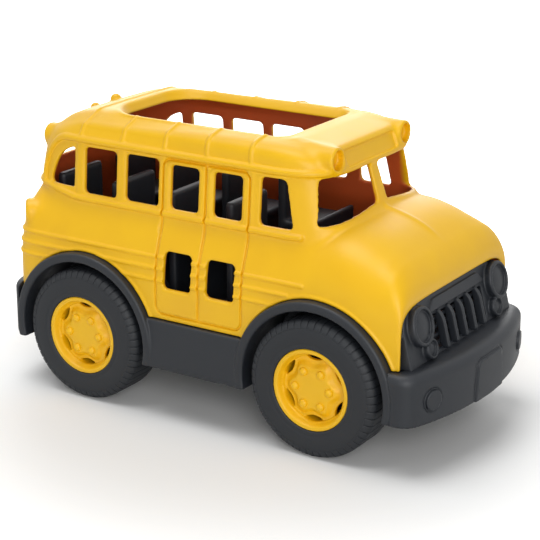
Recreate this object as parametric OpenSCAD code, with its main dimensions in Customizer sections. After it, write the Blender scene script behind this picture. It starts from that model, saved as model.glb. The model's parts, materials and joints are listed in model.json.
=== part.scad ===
// Push-along toy bus of snap-together plastic mouldings.
// Millimetres, +X forward, +Y to the left of the bus, +Z up, ground at z = 0.

/* [Overall] */
// Length over the bumpers
bus_length = 268; // [250:1:290]
// Width over the tyres
bus_width = 130.4; // [128.5:0.1:133]
// Height of the roof crown
roof_height = 155; // [150:0.5:162]

/* [Wheels] */
// Distance between the axles
wheelbase = 144; // [138:0.5:150]
// Front axle to the front bumper face
front_overhang = 68; // [66:0.5:72]
// Outer radius of a tyre
tyre_radius = 36.3; // [34.5:0.1:37.5]
// Width of a tyre
tyre_width = 26.7; // [24:0.1:28]
// Radius of the yellow hub lip
hub_radius = 21.5; // [20.5:0.1:23]
// Radius of an axle rod
axle_radius = 4; // [3:0.1:5]
// Tread blocks round a tyre
tread_blocks = 54; // [36:2:60]
// Depth of a tread groove
tread_depth = 1.3; // [0.8:0.1:2]
// Studs and slots round a hub
hub_spokes = 6; // [4:1:8]

/* [Body shell] */
// Half the width of the lower body
shell_half_width = 60.3; // [59.5:0.1:61]
// Wall of the shell
shell_wall = 2.8; // [2.2:0.1:3.2]
// Lower edge of the shell
sill_height = 54; // [53:0.1:56]
// Height where the lower side starts to curve in
shoulder_height = 58.7; // [57:0.1:61]
// Centre line of the rail under the windows
belt_height = 109.5; // [107:0.1:111]
// Centre line of the rail over the windows
drip_height = 141; // [139.5:0.1:142.5]
// Half the width at the belt rail
belt_half_width = 52.5; // [51:0.1:54]
// Half the width at the drip rail
drip_half_width = 49.8; // [48.5:0.1:51]
// Radius of a wheel arch
arch_radius = 45.7; // [45:0.1:47]
// Top of the hood at the windscreen
hood_height = 117.5; // [116:0.1:118.5]
// Length of the hood from under the dash to the nose
hood_length = 62.6; // [60:0.1:65]
// Top of the grille opening in the nose
nose_opening_height = 84.3; // [83:0.1:86]
// Radius of rails and ribs
rail_radius = 1.5; // [1:0.1:2]

/* [Windows] */
// Lower edge of the side windows
window_bottom = 112.2; // [111.5:0.1:114]
// Upper edge of the side windows
window_top = 137; // [135:0.1:138]
// Width of a plain side window
window_width = 21; // [18:0.1:23]
// Spacing of the windows behind the door
window_bay = 27.4; // [25:0.1:28]
// Width of one door leaf
door_leaf = 26.6; // [24:0.1:27]
// Width of a window in a door leaf
door_window_width = 17.2; // [14:0.1:19]
// Width of the grooves round the door leaves
groove_width = 1.2; // [0.8:0.1:1.6]

/* [Roof opening] */
// Length of the hand opening
roof_opening_length = 105; // [90:1:108]
// Width of the hand opening
roof_opening_width = 62; // [52:0.5:66]
// Drop of the rolled lip inside the opening
rim_drop = 5; // [3:0.1:7]

/* [Chassis] */
// Lower edge of skirts, flares and bumpers
skirt_bottom = 27.5; // [26:0.1:30]
// Thickness of the floor
floor_thickness = 3.8; // [3:0.1:5]
// Inner radius of a wheel well
well_radius = 40.8; // [39.5:0.1:41.2]
// Wall of skirts, bumpers and wheel wells
tray_wall = 2.6; // [2.2:0.1:3]
// Radius of the curve of a bumper face in plan
bumper_curve = 170; // [150:1:220]

/* [Seats] */
// Top of the bench backs
seat_top = 117.5; // [112:0.5:119]
// Top of the bench cushions
cushion_top = 96; // [90:0.5:100]
// Spacing of the bench rows
seat_pitch = 36.7; // [35:0.1:37.5]
// Outer edge of a bench from the middle
bench_reach = 42; // [36:0.5:43]
// Aisle between the benches
aisle_width = 16; // [12:0.5:20]
// Thickness of bench backs and cushions
bench_thickness = 5; // [4:0.1:6]
// Front bench backs behind the front axle
front_row_setback = 60.5; // [59:0.1:62]
// Dashboard behind the front axle
dash_setback = 40; // [38:0.1:42]
// Deck floor in front of the dashboard's back
deck_lead = 24; // [20:0.1:25]

/* [Fits] */
// Gap between pieces that rest on each other
seat_gap = 0.3; // [0.2:0.05:0.4]
// Radial gap of an axle in its bearing
running_gap = 0.06; // [0.03:0.01:0.1]
// Radial gap of pressed pieces
press_gap = 0.03; // [0.02:0.01:0.05]

/* [Hidden] */
$fn = 64;
slip = 0.02;
weld = 0.6;
front_x = bus_length / 2;
rear_x = -bus_length / 2;
front_axle_x = front_x - front_overhang;
rear_axle_x = front_axle_x - wheelbase;
axle_z = tyre_radius;
tyre_face = bus_width / 2;
tyre_back = tyre_face - tyre_width;

// Shell stations along the bus.
tail_x = rear_x + 2.9;
tail_plan_length = 26;
tail_plan_power = 4.7;
tail_side_length = 20;
nose_x = front_x - 21.4;
hood_start_x = nose_x - hood_length;
hood_crease_height = 86;
hood_power = 2.3;
brow_rise = 0.6;
brow_length = 11;
nose_lip = 3;
nose_pinch = 1.3;
side_power = 3.2;
hood_swell = 1;
nose_power = 6;
ring_steps = 16;
plan_steps = 14;

// Greenhouse: windscreen, side windows, roof and rear dome.
screen_x = front_axle_x + 4.6;
screen_base_z = hood_height;
screen_rake = 0.328;
screen_power = 4;
screen_centre_x = screen_x - 50.6;
dome_centre_x = tail_x + 70;
dome_reach = 64;
dome_power = 4.6;
dome_fall_power = 3;
roof_power = 5;
screen_fall_power = 2.4;
green_base_z = belt_height - 12;

// Door, windows and rails.
door_rear_x = front_axle_x - 97.3;
door_mid_x = door_rear_x + door_leaf;
door_front_x = door_mid_x + door_leaf;
first_bay_x = door_rear_x - window_bay / 2;
quarter_x = first_bay_x - 1.5 * window_bay - 3.8;
corner_radius = 2.5;
pillar_xs = [
    door_front_x,
    door_mid_x,
    door_rear_x,
    door_rear_x - window_bay,
    door_rear_x - 2 * window_bay
];
side_rib_drops = [22.2, 28.2, 34.4];
lower_window_bottom = sill_height + 17.3;
lower_window_top = belt_height - 18.9;
door_bottom = sill_height + 2.6;

// Roof opening.
opening_front_x = front_axle_x - 38;
opening_rear_x = opening_front_x - roof_opening_length;
opening_half = roof_opening_width / 2;
opening_front_radius = 9;
opening_rear_radius = 17;
rim_flare = 5;
rim_bottom = roof_height - 0.9 - rim_drop;

// Lamps.
marker_y = 33.3;
marker_radius = 6.4;
marker_recess = 1.5;
visor_z = drip_height + 5.9;
visor_x = screen_x - screen_rake * (drip_height - screen_base_z) + 1.6;

// Chassis.
tray_top = sill_height - seat_gap;
tray_bottom = tray_top - floor_thickness;
flare_radius = arch_radius - seat_gap;
flare_face = tyre_face - 0.4;
well_back = tyre_back - 4.5;
well_wall = 3;
pad_drop = 3;
bearing_radius = axle_radius + running_gap;
hanger_radius = axle_radius + 4.5;
flare_dip = asin((axle_z - skirt_bottom) / (well_radius + tray_wall));
front_joint_x = front_axle_x + arch_radius + 0.1;
rear_joint_x = rear_axle_x - arch_radius - 0.1;
rear_wrap = 28;
rear_wrap_half = shell_half_width + 3.2;
rear_wrap_power = 5;
rear_wrap_top = shoulder_height - 1.3;

// Grille panel.
panel_tilt = 14.5;
panel_thickness = 3;
panel_setback = 16.5;
panel_x = front_x - panel_setback;
panel_z = sill_height + panel_thickness * sin(panel_tilt);
panel_inset = 0.8;

yellow = [0.93, 0.72, 0.12];
charcoal = [0.22, 0.23, 0.26];

function unit(v) = v / norm(v);

function ramp(x, from, to) = let (t = min(1, max(0, (x - from) / (to - from)))) t * t * (3 - 2 * t);

function signed_power(value, power) = sign(value) * pow(abs(value), power);

function rounding(share, power) = pow(max(0, 1 - pow(share, power)), 1 / power);

// Fraction left of a width or height as it rounds off towards the tail.
function tail_fall(x, reach, power) =
    pow(max(0, 1 - pow(max(0, (tail_x + reach - x) / reach), power)), 1 / power);

function lower_power(x) =
    side_power
        + hood_swell * ramp(x, hood_start_x + 5, hood_start_x + 30)
        + (nose_power - side_power - hood_swell) * pow(ramp(x, nose_x - 22, nose_x - 2), 1.5);

function lower_half(x) =
    shell_half_width * tail_fall(x, tail_plan_length, tail_plan_power)
        - nose_pinch * ramp(x, nose_x - 22, nose_x);

function hood_curve(x, reach, low, high) =
    let (u = min(1, max(0, (x - hood_start_x) / reach)))
    low + (high - low) * sqrt(1 - pow(u, hood_power));

function lower_top(x) =
    x < hood_start_x
        ? shoulder_height + (hood_height - shoulder_height) * tail_fall(x, tail_side_length, 3)
        : hood_curve(x, hood_length, hood_crease_height, hood_height)
            + brow_rise * ramp(x, nose_x - brow_length, nose_x - 0.6 * brow_length);

function cavity_top(x) =
    x < hood_start_x
        ? lower_top(x) - shell_wall
        : hood_curve(x, hood_length - nose_lip, nose_opening_height, hood_height - shell_wall);

// One arched section of the lower body, open end down at base_z.
function lower_ring(x, half, top, power, base_z) = concat(
    [
        for (k = [0 : ring_steps])
            let (a = 180 * k / ring_steps)
            [
                x,
                half * signed_power(cos(a), 2 / power),
                shoulder_height + (top - shoulder_height) * signed_power(sin(a), 2 / power)
            ]
    ],
    [[x, -half, base_z], [x, half, base_z]]
);

tail_steps = [0.15, 0.8, 2.4, 5, 9, 14, 19, 26];
hood_steps = [1, 0.78, 0.6, 0.45, 0.33, 0.24, 0.18, 0.14, 0.1, 0.065, 0.035, 0.012, 0];

function lower_rings(inset) = concat(
    [
        for (s = tail_steps)
            let (x = tail_x + s)
            lower_ring(x + inset, lower_half(x) - inset, lower_top(x) - inset, side_power, sill_height)
    ],
    [
        for (s = hood_steps)
            let (x = nose_x - s * hood_length)
            lower_ring(x, lower_half(x) - inset, lower_top(x) - inset, lower_power(x), sill_height)
    ]
);

function cavity_rings() = concat(
    [
        for (s = tail_steps)
            let (x = tail_x + s)
            lower_ring(
                x + shell_wall, lower_half(x) - shell_wall, cavity_top(x), side_power,
                sill_height - shell_wall
            )
    ],
    [
        for (s = hood_steps)
            let (x = nose_x + 2 - s * (hood_length + 2))
            lower_ring(
                x, lower_half(x) - shell_wall, cavity_top(x), lower_power(x), sill_height - shell_wall
            )
    ]
);

// Half width of the lower body at a station and height.
function lower_side(x, z) =
    let (u = max(0, (z - shoulder_height) / (lower_top(x) - shoulder_height)))
    lower_half(x) * pow(max(0, 1 - pow(u, lower_power(x))), 1 / lower_power(x));

function roof_fall(z, inset, power) =
    z <= drip_height
        ? 1
        : rounding((z - drip_height) / (roof_height - inset - drip_height), power);

function green_half(z, inset) =
    let (u = (min(z, drip_height) - belt_height) / (drip_height - belt_height))
    (belt_half_width + (drip_half_width - belt_half_width) * u - inset)
        * roof_fall(z, inset, roof_power);

function screen_reach(z, inset) =
    (screen_x - screen_rake * (min(z, drip_height) - screen_base_z) - screen_centre_x - inset)
        * roof_fall(z, inset, screen_fall_power);

function dome_reach_at(z, inset) =
    let (u = max(0, (z - belt_height) / (roof_height - inset - belt_height)))
    (dome_reach - inset) * pow(max(0, 1 - pow(u, dome_fall_power)), 1 / dome_fall_power);

// Height of the roof on the middle line.
function dome_top(x) =
    let (u = max(0, (dome_centre_x - x) / dome_reach))
    belt_height + (roof_height - belt_height) * pow(1 - pow(u, dome_fall_power), 1 / dome_fall_power);

// Half width of the greenhouse at a station and height.
function green_side(x, z) =
    x > screen_centre_x
        ? green_half(z, 0) * rounding((x - screen_centre_x) / screen_reach(z, 0), screen_power)
        : x < dome_centre_x
            ? green_half(z, 0) * rounding((dome_centre_x - x) / dome_reach_at(z, 0), dome_power)
            : green_half(z, 0);

function green_ring(z, inset) =
    let (half = green_half(z, inset), reach = screen_reach(z, inset), back = dome_reach_at(z, inset))
    concat(
        [
            for (k = [0 : plan_steps])
                let (a = -90 + 180 * k / plan_steps)
                [
                    screen_centre_x + reach * signed_power(cos(a), 2 / screen_power),
                    half * signed_power(sin(a), 2 / screen_power),
                    z
                ]
        ],
        [
            for (k = [0 : plan_steps])
                let (a = 90 + 180 * k / plan_steps)
                [
                    dome_centre_x + back * signed_power(cos(a), 2 / dome_power),
                    half * signed_power(sin(a), 2 / dome_power),
                    z
                ]
        ]
    );

wall_steps = [0, 0.35, 0.6, 0.82];
crown_steps = [0, 0.3, 0.52, 0.7, 0.83, 0.92, 0.975, 0.997];

function green_rings(inset) = concat(
    [for (s = wall_steps) green_ring(green_base_z + s * (drip_height - green_base_z), inset)],
    [for (s = crown_steps) green_ring(drip_height + s * (roof_height - inset - drip_height), inset)]
);

// Closed solid through rings of equal length, each turning left about the direction of travel.
module loft(rings) {
    n = len(rings[0]);
    m = len(rings);
    sides = [
        for (i = [0 : m - 2], j = [0 : n - 1])
            let (a = i * n + j, b = a + n, c = (i + 1) * n + (j + 1) % n, d = i * n + (j + 1) % n)
            each [[a, b, c], [a, c, d]]
    ];
    first_cap = [for (j = [0 : n - 1]) j];
    last_cap = [for (j = [n - 1 : -1 : 0]) (m - 1) * n + j];
    polyhedron([for (ring = rings) each ring], concat(sides, [first_cap, last_cap]));
}

// Round bead laid along a path; hint is a direction that never runs along the path.
module bead(path, radius, hint) {
    last = len(path) - 1;
    loft([
        for (i = [0 : last])
            let (
                along = unit(path[min(last, i + 1)] - path[max(0, i - 1)]),
                first = unit(hint - (hint * along) * along),
                second = cross(along, first)
            )
            [for (k = [0 : 4]) path[i] + radius * (cos(72 * k) * first + sin(72 * k) * second)]
    ]);
}

module both_sides() {
    children();
    mirror([0, 1, 0]) children();
}

// Window-shaped cutter through one side wall, from circles at [x, z] corners.
module side_cutter(corners, radius) {
    hull()
        for (corner = corners)
            translate([corner[0], -belt_half_width + 14, corner[1]])
                rotate([90, 0, 0])
                    cylinder(r = radius, h = 40, $fn = 16);
}

module side_window(from_x, to_x, bottom, top) {
    r = corner_radius;
    side_cutter(
        [[from_x + r, bottom + r], [to_x - r, bottom + r], [to_x - r, top - r], [from_x + r, top - r]], r
    );
}

module bay_window(centre_x, width) {
    side_window(centre_x - width / 2, centre_x + width / 2, window_bottom, window_top);
}

module quarter_window() {
    side_cutter(
        [
            [quarter_x - 2.5, window_bottom + 4.3],
            [quarter_x - 2.5, window_top - 3.8],
            [quarter_x - 9, window_top - 6.2],
            [quarter_x - 13, window_top - 11],
            [quarter_x - 14.8, window_bottom + 6.6],
            [quarter_x - 14, window_bottom + 4.3]
        ],
        corner_radius
    );
}

module front_side_window() {
    side_cutter(
        [
            [door_front_x + 8.6, window_bottom + 2.5],
            [door_front_x + 23.1, window_bottom + 2.5],
            [door_front_x + 18.1, window_top - 2.5],
            [door_front_x + 8.6, window_top - 2.5]
        ],
        corner_radius
    );
}

module common_side_windows() {
    quarter_window();
    bay_window(first_bay_x, window_width);
    bay_window(first_bay_x - window_bay, window_width);
    front_side_window();
}

module door_windows() {
    for (x = [door_rear_x, door_mid_x])
        bay_window(x + door_leaf / 2, door_window_width);
    for (x = [door_rear_x, door_mid_x])
        side_window(
            x + (door_leaf - door_window_width) / 2, x + (door_leaf + door_window_width) / 2,
            lower_window_bottom, lower_window_top
        );
}

module plain_windows() {
    for (x = [door_rear_x, door_mid_x])
        bay_window(x + door_leaf / 2, window_width);
}

// Cutter that runs along the bus, from circles at [y, z] corners.
module end_cutter(corners, radius, from_x, to_x) {
    hull()
        for (corner = corners)
            translate([from_x, corner[0], corner[1]])
                rotate([0, 90, 0])
                    cylinder(r = radius, h = to_x - from_x, $fn = 16);
}

module windscreen_pane() {
    base = screen_base_z;
    end_cutter(
        [[8, base + 4], [42.5, base], [38.5, window_top - 2.5], [7.5, window_top - 2]],
        3, screen_x - 32, screen_x + 14
    );
}

module rear_window() {
    end_cutter([[9, 124.5], [27, 124.5], [27, 131.5], [9, 131.5]], 2.5, tail_x - 3, tail_x + 40);
}

module door_grooves() {
    difference() {
        for (x = [door_rear_x, door_mid_x])
            difference() {
                side_window(
                    x - groove_width / 2, x + door_leaf + groove_width / 2,
                    door_bottom, drip_height - 1.8
                );
                side_window(
                    x + groove_width / 2, x + door_leaf - groove_width / 2,
                    door_bottom + groove_width, drip_height - 1.8 - groove_width
                );
            }
        loft(lower_rings(1));
        loft(green_rings(1));
    }
}

module roof_outline(grow) {
    front_inset = opening_front_radius;
    rear_inset = opening_rear_radius;
    hull()
        for (side = [-1, 1]) {
            translate([opening_front_x - front_inset, side * (opening_half - front_inset)])
                circle(front_inset + grow, $fn = 32);
            translate([opening_rear_x + rear_inset, side * (opening_half - rear_inset)])
                circle(rear_inset + grow, $fn = 32);
        }
}

// Outline of the opening that widens upwards, as the rim rolls over.
module roof_funnel(grow, low, high) {
    hull() {
        translate([0, 0, low])
            linear_extrude(slip)
                roof_outline(grow);
        translate([0, 0, high])
            linear_extrude(slip)
                roof_outline(grow + rim_flare);
    }
}

module roof_rim() {
    roof_funnel(shell_wall, rim_bottom, roof_height - 1.4);
}

module roof_cutter() {
    translate([0, 0, drip_height])
        linear_extrude(40)
            roof_outline(0);
    roof_funnel(0, rim_bottom + 1, roof_height + 0.3);
}

// Small moulded nubs on the middle line of the rear dome.
module roof_nubs() {
    for (back = [31, 16])
        translate([tail_x + back, 0, dome_top(tail_x + back) - 1.4])
            sphere(r = 3, $fn = 14);
}

// Canopy over the windscreen with an open tube at each end and a bare sign recess.
module visor() {
    hull()
        for (rod = [
            [visor_x - 2, drip_height - 0.6, 2],
            [visor_x - 5.5, drip_height + 8, 3.4],
            [visor_x - 20, drip_height + 7, 5]
        ])
            translate([rod[0], marker_y + 1, rod[1]])
                rotate([90, 0, 0])
                    cylinder(r = rod[2], h = 2 * marker_y + 2, $fn = 20);
    for (side = [-1, 1])
        translate([visor_x - 20, side * marker_y, visor_z])
            rotate([0, 90, 0])
                cylinder(r = marker_radius, h = 19.5, $fn = 24);
}

module visor_recesses() {
    for (side = [-1, 1])
        translate([visor_x - 3.5, side * marker_y, visor_z])
            rotate([0, 90, 0])
                cylinder(r = marker_radius - marker_recess, h = 10, $fn = 24);
    translate([visor_x - 3.6, 0, visor_z - 1])
        rotate([0, -26, 0])
            hull()
                for (y = [-22, 22], z = [-2.5, 2.5])
                    translate([0, y, z])
                        rotate([0, 90, 0])
                            cylinder(r = 2, h = 10, $fn = 16);
}

module rear_markers() {
    for (side = [-1, 1])
        translate([tail_x + 10.5, side * marker_y, drip_height - 4.8])
            rotate([0, 90, 0])
                cylinder(r = marker_radius, h = 30, $fn = 24);
}

module rear_marker_recesses() {
    for (side = [-1, 1])
        translate([tail_x, side * marker_y, drip_height - 4.8])
            rotate([0, 90, 0])
                cylinder(r = marker_radius - marker_recess, h = 13, $fn = 24);
}

module tail_lamps() {
    drum = 7.2;
    edge = 1.5;
    for (side = [-1, 1])
        translate([tail_x + 11.6, side * 48.5, belt_height - 13.5])
            rotate([0, 0, side * 142])
                rotate([0, 90, 0]) {
                    cylinder(r = drum, h = drum - edge, $fn = 24);
                    translate([0, 0, drum - edge])
                        cylinder(r1 = drum, r2 = drum - edge, h = edge, $fn = 24);
                }
}

// Height of the belt rail, which climbs a little behind the last window.
function belt_line(x) = belt_height + 4 * ramp(x, dome_centre_x - 23, dome_centre_x - 52);

module side_rails() {
    drip_back_x = tail_x + 35;
    drip_curve_x = 19;
    drip_curve_z = drip_height - belt_height - 4;
    drip_path = concat(
        [
            for (k = [6 : -1 : 0])
                let (
                    x = drip_back_x - drip_curve_x * sin(15 * k),
                    z = drip_height - drip_curve_z * (1 - cos(15 * k))
                )
                [x, -green_side(x, z), z]
        ],
        [
            for (x = [screen_centre_x, screen_centre_x + 14, screen_centre_x + 24, screen_centre_x + 31])
                [x, -green_side(x, drip_height), drip_height]
        ]
    );
    bead(drip_path, rail_radius, [0, 1, 0]);
    belt_xs = [
        tail_x + 16, tail_x + 20, tail_x + 26, tail_x + 36, dome_centre_x,
        screen_centre_x, screen_centre_x + 20, screen_centre_x + 36
    ];
    bead([for (x = belt_xs) [x, -green_side(x, belt_line(x)), belt_line(x)]], rail_radius, [0, 0, 1]);
}

module side_ribs() {
    xs = concat(
        [for (s = tail_steps) if (s > 1) tail_x + s],
        [front_axle_x - arch_radius + 8, front_axle_x - arch_radius + 30]
    );
    for (i = [0 : len(side_rib_drops) - 1]) {
        z = belt_height - side_rib_drops[i];
        end_x = front_axle_x - 7 - 9 * i;
        path = [for (x = xs) [min(x, end_x), -lower_side(min(x, end_x), z), z]];
        bead(path, rail_radius * 0.8, [0, 0, 1]);
    }
}

module arch_lips() {
    r = arch_radius + 1.2;
    for (axle_x = [front_axle_x, rear_axle_x])
        bead(
            [
                for (k = [0 : 9])
                    let (a = 156 - 132 * k / 9, x = axle_x + r * cos(a), z = axle_z + r * sin(a))
                    [x, -lower_side(x, z), z]
            ],
            1.1, [0, 1, 0]
        );
}

// Right-hand run of a roof rib from the drip rail up.
function rib_run(x, angles) =
    [
        for (a = angles)
            let (z = drip_height + (dome_top(x) - drip_height) * pow(sin(a), 2 / roof_power))
            [x, -green_side(x, z), z]
    ];

// Ribs that stop at the rim of the opening.
module roof_ribs() {
    for (x = pillar_xs)
        if (x > opening_rear_x)
            bead(rib_run(x, [0, 16, 32, 45, 56, 66]), rail_radius * 1.1, [1, 0, 0]);
}

// The last rib crosses the roof behind the opening.
module crossing_rib() {
    run = rib_run(min(pillar_xs), [0, 16, 32, 45, 56, 66, 76]);
    mirrored = [for (k = [len(run) - 1 : -1 : 0]) [run[k].x, -run[k].y, run[k].z]];
    bead(concat(run, mirrored), rail_radius * 1.1, [1, 0, 0]);
}

module wheel_arches() {
    for (x = [front_axle_x, rear_axle_x])
        translate([x, bus_width, axle_z])
            rotate([90, 0, 0])
                cylinder(r = arch_radius, h = 2 * bus_width, $fn = 60);
}

module body_shell() {
    color(yellow)
        difference() {
            union() {
                difference() {
                    union() {
                        loft(lower_rings(0));
                        loft(green_rings(0));
                        visor();
                        rear_markers();
                        tail_lamps();
                        roof_nubs();
                        crossing_rib();
                        both_sides() {
                            side_rails();
                            side_ribs();
                            arch_lips();
                            roof_ribs();
                        }
                    }
                    loft(cavity_rings());
                    loft(green_rings(shell_wall));
                }
                roof_rim();
            }
            roof_cutter();
            wheel_arches();
            both_sides() {
                common_side_windows();
                windscreen_pane();
                rear_window();
            }
            door_windows();
            mirror([0, 1, 0]) plain_windows();
            door_grooves();
            visor_recesses();
            rear_marker_recesses();
        }
}

module wheel_well(axle_x) {
    translate([axle_x, 0, axle_z])
        rotate([90, 0, 0])
            rotate([0, 0, -flare_dip])
                rotate_extrude(angle = 180 + 2 * flare_dip, $fn = 96)
                    polygon([
                        [well_radius, well_back - well_wall],
                        [well_radius + tray_wall, well_back - well_wall],
                        [well_radius + tray_wall, shell_half_width - 6],
                        [flare_radius, shell_half_width - 3.4],
                        [flare_radius, flare_face - 1],
                        [flare_radius - 1, flare_face],
                        [well_radius + 1, flare_face],
                        [well_radius, flare_face - 1]
                    ]);
}

// Flat inner wall of a wheel well with the hanger that carries the axle.
module well_plate(axle_x) {
    drop = tray_bottom - axle_z;
    translate([axle_x, -well_back + well_wall + weld, axle_z])
        rotate([90, 0, 0])
            linear_extrude(well_wall)
                difference() {
                    union() {
                        intersection() {
                            circle(well_radius + tray_wall / 2, $fn = 96);
                            translate([-well_radius * 1.5, drop + weld])
                                square([3 * well_radius, 2 * well_radius]);
                        }
                        polygon([
                            [-hanger_radius, 0], [hanger_radius, 0],
                            [2 * hanger_radius, drop + 2 * weld], [-2 * hanger_radius, drop + 2 * weld]
                        ]);
                        circle(hanger_radius);
                    }
                    circle(bearing_radius);
                }
}

module well_cut(axle_x) {
    translate([axle_x, -well_back, axle_z])
        rotate([90, 0, 0])
            cylinder(r = well_radius + tray_wall / 3, h = bus_width, $fn = 96);
}

module skirt() {
    from_x = rear_axle_x + well_radius - 8;
    to_x = front_axle_x - well_radius + 8;
    translate([from_x, 0, 0])
        rotate([90, 0, 90])
            linear_extrude(to_x - from_x)
                polygon([
                    [-(flare_face - 2.6), tray_top],
                    [-(flare_face - 0.2), skirt_bottom],
                    [-(flare_face - 0.2 - tray_wall), skirt_bottom],
                    [-(flare_face - 2.6 - tray_wall), tray_bottom],
                    [-(shell_half_width - 6), tray_bottom],
                    [-(shell_half_width - 6), tray_top]
                ]);
}

module snap_tabs() {
    middle_x = (front_axle_x + rear_axle_x) / 2;
    tab_length = 9;
    tab_rise = 8;
    for (x = [middle_x - 18, middle_x + 18])
        translate([x - tab_length / 2, -(shell_half_width - shell_wall - seat_gap), tray_bottom + weld])
            cube([tab_length, 2.2, floor_thickness + tab_rise]);
}

module belly_pad() {
    middle_x = (front_axle_x + rear_axle_x) / 2;
    translate([middle_x - 26, -24, tray_bottom - pad_drop])
        cube([52, 48, pad_drop + weld]);
}

module chassis() {
    floor_half = shell_half_width - 4;
    floor_length = front_joint_x - rear_joint_x - 2 * seat_gap;
    color(charcoal) {
        difference() {
            union() {
                translate([rear_joint_x + seat_gap, -floor_half, tray_bottom])
                    cube([floor_length, 2 * floor_half, floor_thickness]);
                both_sides() skirt();
            }
            both_sides() {
                well_cut(front_axle_x);
                well_cut(rear_axle_x);
            }
        }
        both_sides() {
            for (x = [front_axle_x, rear_axle_x]) {
                wheel_well(x);
                well_plate(x);
            }
            snap_tabs();
        }
        belly_pad();
    }
}

module bench(back_x, top) {
    inner = aisle_width / 2;
    width = bench_reach - inner;
    cushion = 19;
    translate([back_x - bench_thickness, -bench_reach, sill_height])
        cube([bench_thickness, width, top - sill_height]);
    translate([back_x - slip, -bench_reach, cushion_top - bench_thickness])
        cube([cushion, width, bench_thickness]);
    translate([back_x + cushion - 4, -bench_reach, sill_height])
        cube([3, width, cushion_top - sill_height - bench_thickness + 1]);
}

module deck_clearance(axle_x) {
    translate([axle_x, -(well_back - well_wall - 0.8), axle_z])
        rotate([90, 0, 0])
            cylinder(r = well_radius + tray_wall + 0.8, h = bus_width, $fn = 96);
}

module seat_deck() {
    front_row_x = front_axle_x - front_row_setback;
    dash_x = front_axle_x - dash_setback;
    deck_rear_x = front_row_x - 3 * seat_pitch - bench_thickness;
    color(charcoal)
        difference() {
            union() {
                translate([deck_rear_x, -bench_reach, sill_height])
                    cube([dash_x + deck_lead - deck_rear_x, 2 * bench_reach, 2.4]);
                both_sides()
                    for (row = [0 : 3])
                        bench(front_row_x - row * seat_pitch, seat_top);
                mirror([0, 1, 0])
                    bench(front_row_x, seat_top + 12);
                translate([dash_x, -bench_reach, sill_height])
                    cube([3, 2 * bench_reach, belt_height - 9 - sill_height]);
            }
            both_sides() {
                deck_clearance(front_axle_x);
                deck_clearance(rear_axle_x);
            }
        }
}

function panel_outline() =
    let (
        half = shell_half_width - nose_pinch - shell_wall - panel_inset,
        rise = nose_opening_height - panel_inset - shoulder_height,
        scale_up = 1 / cos(panel_tilt)
    )
    concat(
        [
            for (k = [0 : ring_steps])
                let (a = 180 * k / ring_steps)
                [
                    half * signed_power(cos(a), 2 / nose_power),
                    (shoulder_height - panel_z + rise * signed_power(sin(a), 2 / nose_power)) * scale_up
                ]
        ],
        [[-half, 0], [half, 0]]
    );

module lamp(y, z, radius, height, rim) {
    translate([-slip, y, z])
        rotate([0, 90, 0])
            difference() {
                cylinder(r = radius, h = height);
                translate([0, 0, height - 1.8])
                    cylinder(r = radius - rim, h = 4);
            }
}

module grille_panel() {
    bar_pitch = 10.2;
    bar_width = 2.8;
    opening = 28;
    low = 2.5;
    high = 18.5;
    lamp_z = 18.4;
    color(charcoal)
        translate([panel_x, 0, panel_z])
            rotate([0, -panel_tilt, 0]) {
                difference() {
                    rotate([90, 0, 90])
                        translate([0, 0, -panel_thickness])
                            linear_extrude(panel_thickness)
                                polygon(panel_outline());
                    translate([-2 * panel_thickness, -opening, low])
                        cube([4 * panel_thickness, 2 * opening, high - low]);
                }
                for (row = [0 : 3])
                    translate([-panel_thickness, -opening - 1, low + 1 + 4 * row])
                        cube([1.6, 2 * opening + 2, 2]);
                for (bar = [-2 : 2])
                    translate([0, bar * bar_pitch + bar_width / 2, 0])
                        rotate([90, 0, 0])
                            linear_extrude(bar_width)
                                polygon([
                                    [-panel_thickness, low - 1.5], [2.6, low - 1.5], [2.6, high - 1],
                                    [0.4, high + 2], [-panel_thickness, high + 2]
                                ]);
                translate([-slip, 0, 0])
                    rotate([90, 0, 90])
                        linear_extrude(1)
                            polygon([
                                [-30, high + 3.4],
                                [30, high + 3.4],
                                [24, high + 8.4],
                                [-24, high + 8.4]
                            ]);
                for (side = [-1, 1]) {
                    lamp(side * 42.7, lamp_z, 9.6, 6, 2);
                    lamp(side * 36.8, 5.6, 5.4, 4.5, 1.3);
                }
            }
}

module bumper_plan(depth, inset) {
    corner = 10 - inset / 2;
    offset(r = corner, $fn = 28)
        offset(delta = -corner)
            intersection() {
                translate([depth - bumper_curve, 0])
                    circle(bumper_curve - inset, $fn = 120);
                translate([-60, -(flare_face - inset)])
                    square([60 + depth, 2 * (flare_face - inset)]);
            }
}

// Solid with softly rounded upper edge; the flat back is trimmed at x = 0.
module bumper_body(depth, inset, bottom, top) {
    intersection() {
        hull() {
            translate([0, 0, bottom])
                linear_extrude(top - bottom - 5)
                    bumper_plan(depth, inset);
            translate([0, 0, top - 5])
                linear_extrude(3.4)
                    bumper_plan(depth, inset + 1.2);
            translate([0, 0, top - 5])
                linear_extrude(5)
                    bumper_plan(depth, inset + 4.2);
        }
        translate([0, -bus_width, bottom])
            cube([2 * depth, 2 * bus_width, top]);
    }
}

module bumper(depth) {
    difference() {
        bumper_body(depth, 0, skirt_bottom, tray_top);
        translate([-slip, 0, 0])
            bumper_body(depth, tray_wall, skirt_bottom - 5, tray_top - tray_wall);
    }
}

module bumper_boss(depth) {
    turn = asin(48.7 / bumper_curve);
    for (side = [-1, 1])
        translate([depth - bumper_curve, 0, skirt_bottom + 11.9])
            rotate([0, 0, side * turn])
                translate([bumper_curve - 1, 0, 0])
                    rotate([0, 90, 0])
                        cylinder(r = 4.8, h = 1.8, $fn = 40);
}

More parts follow.
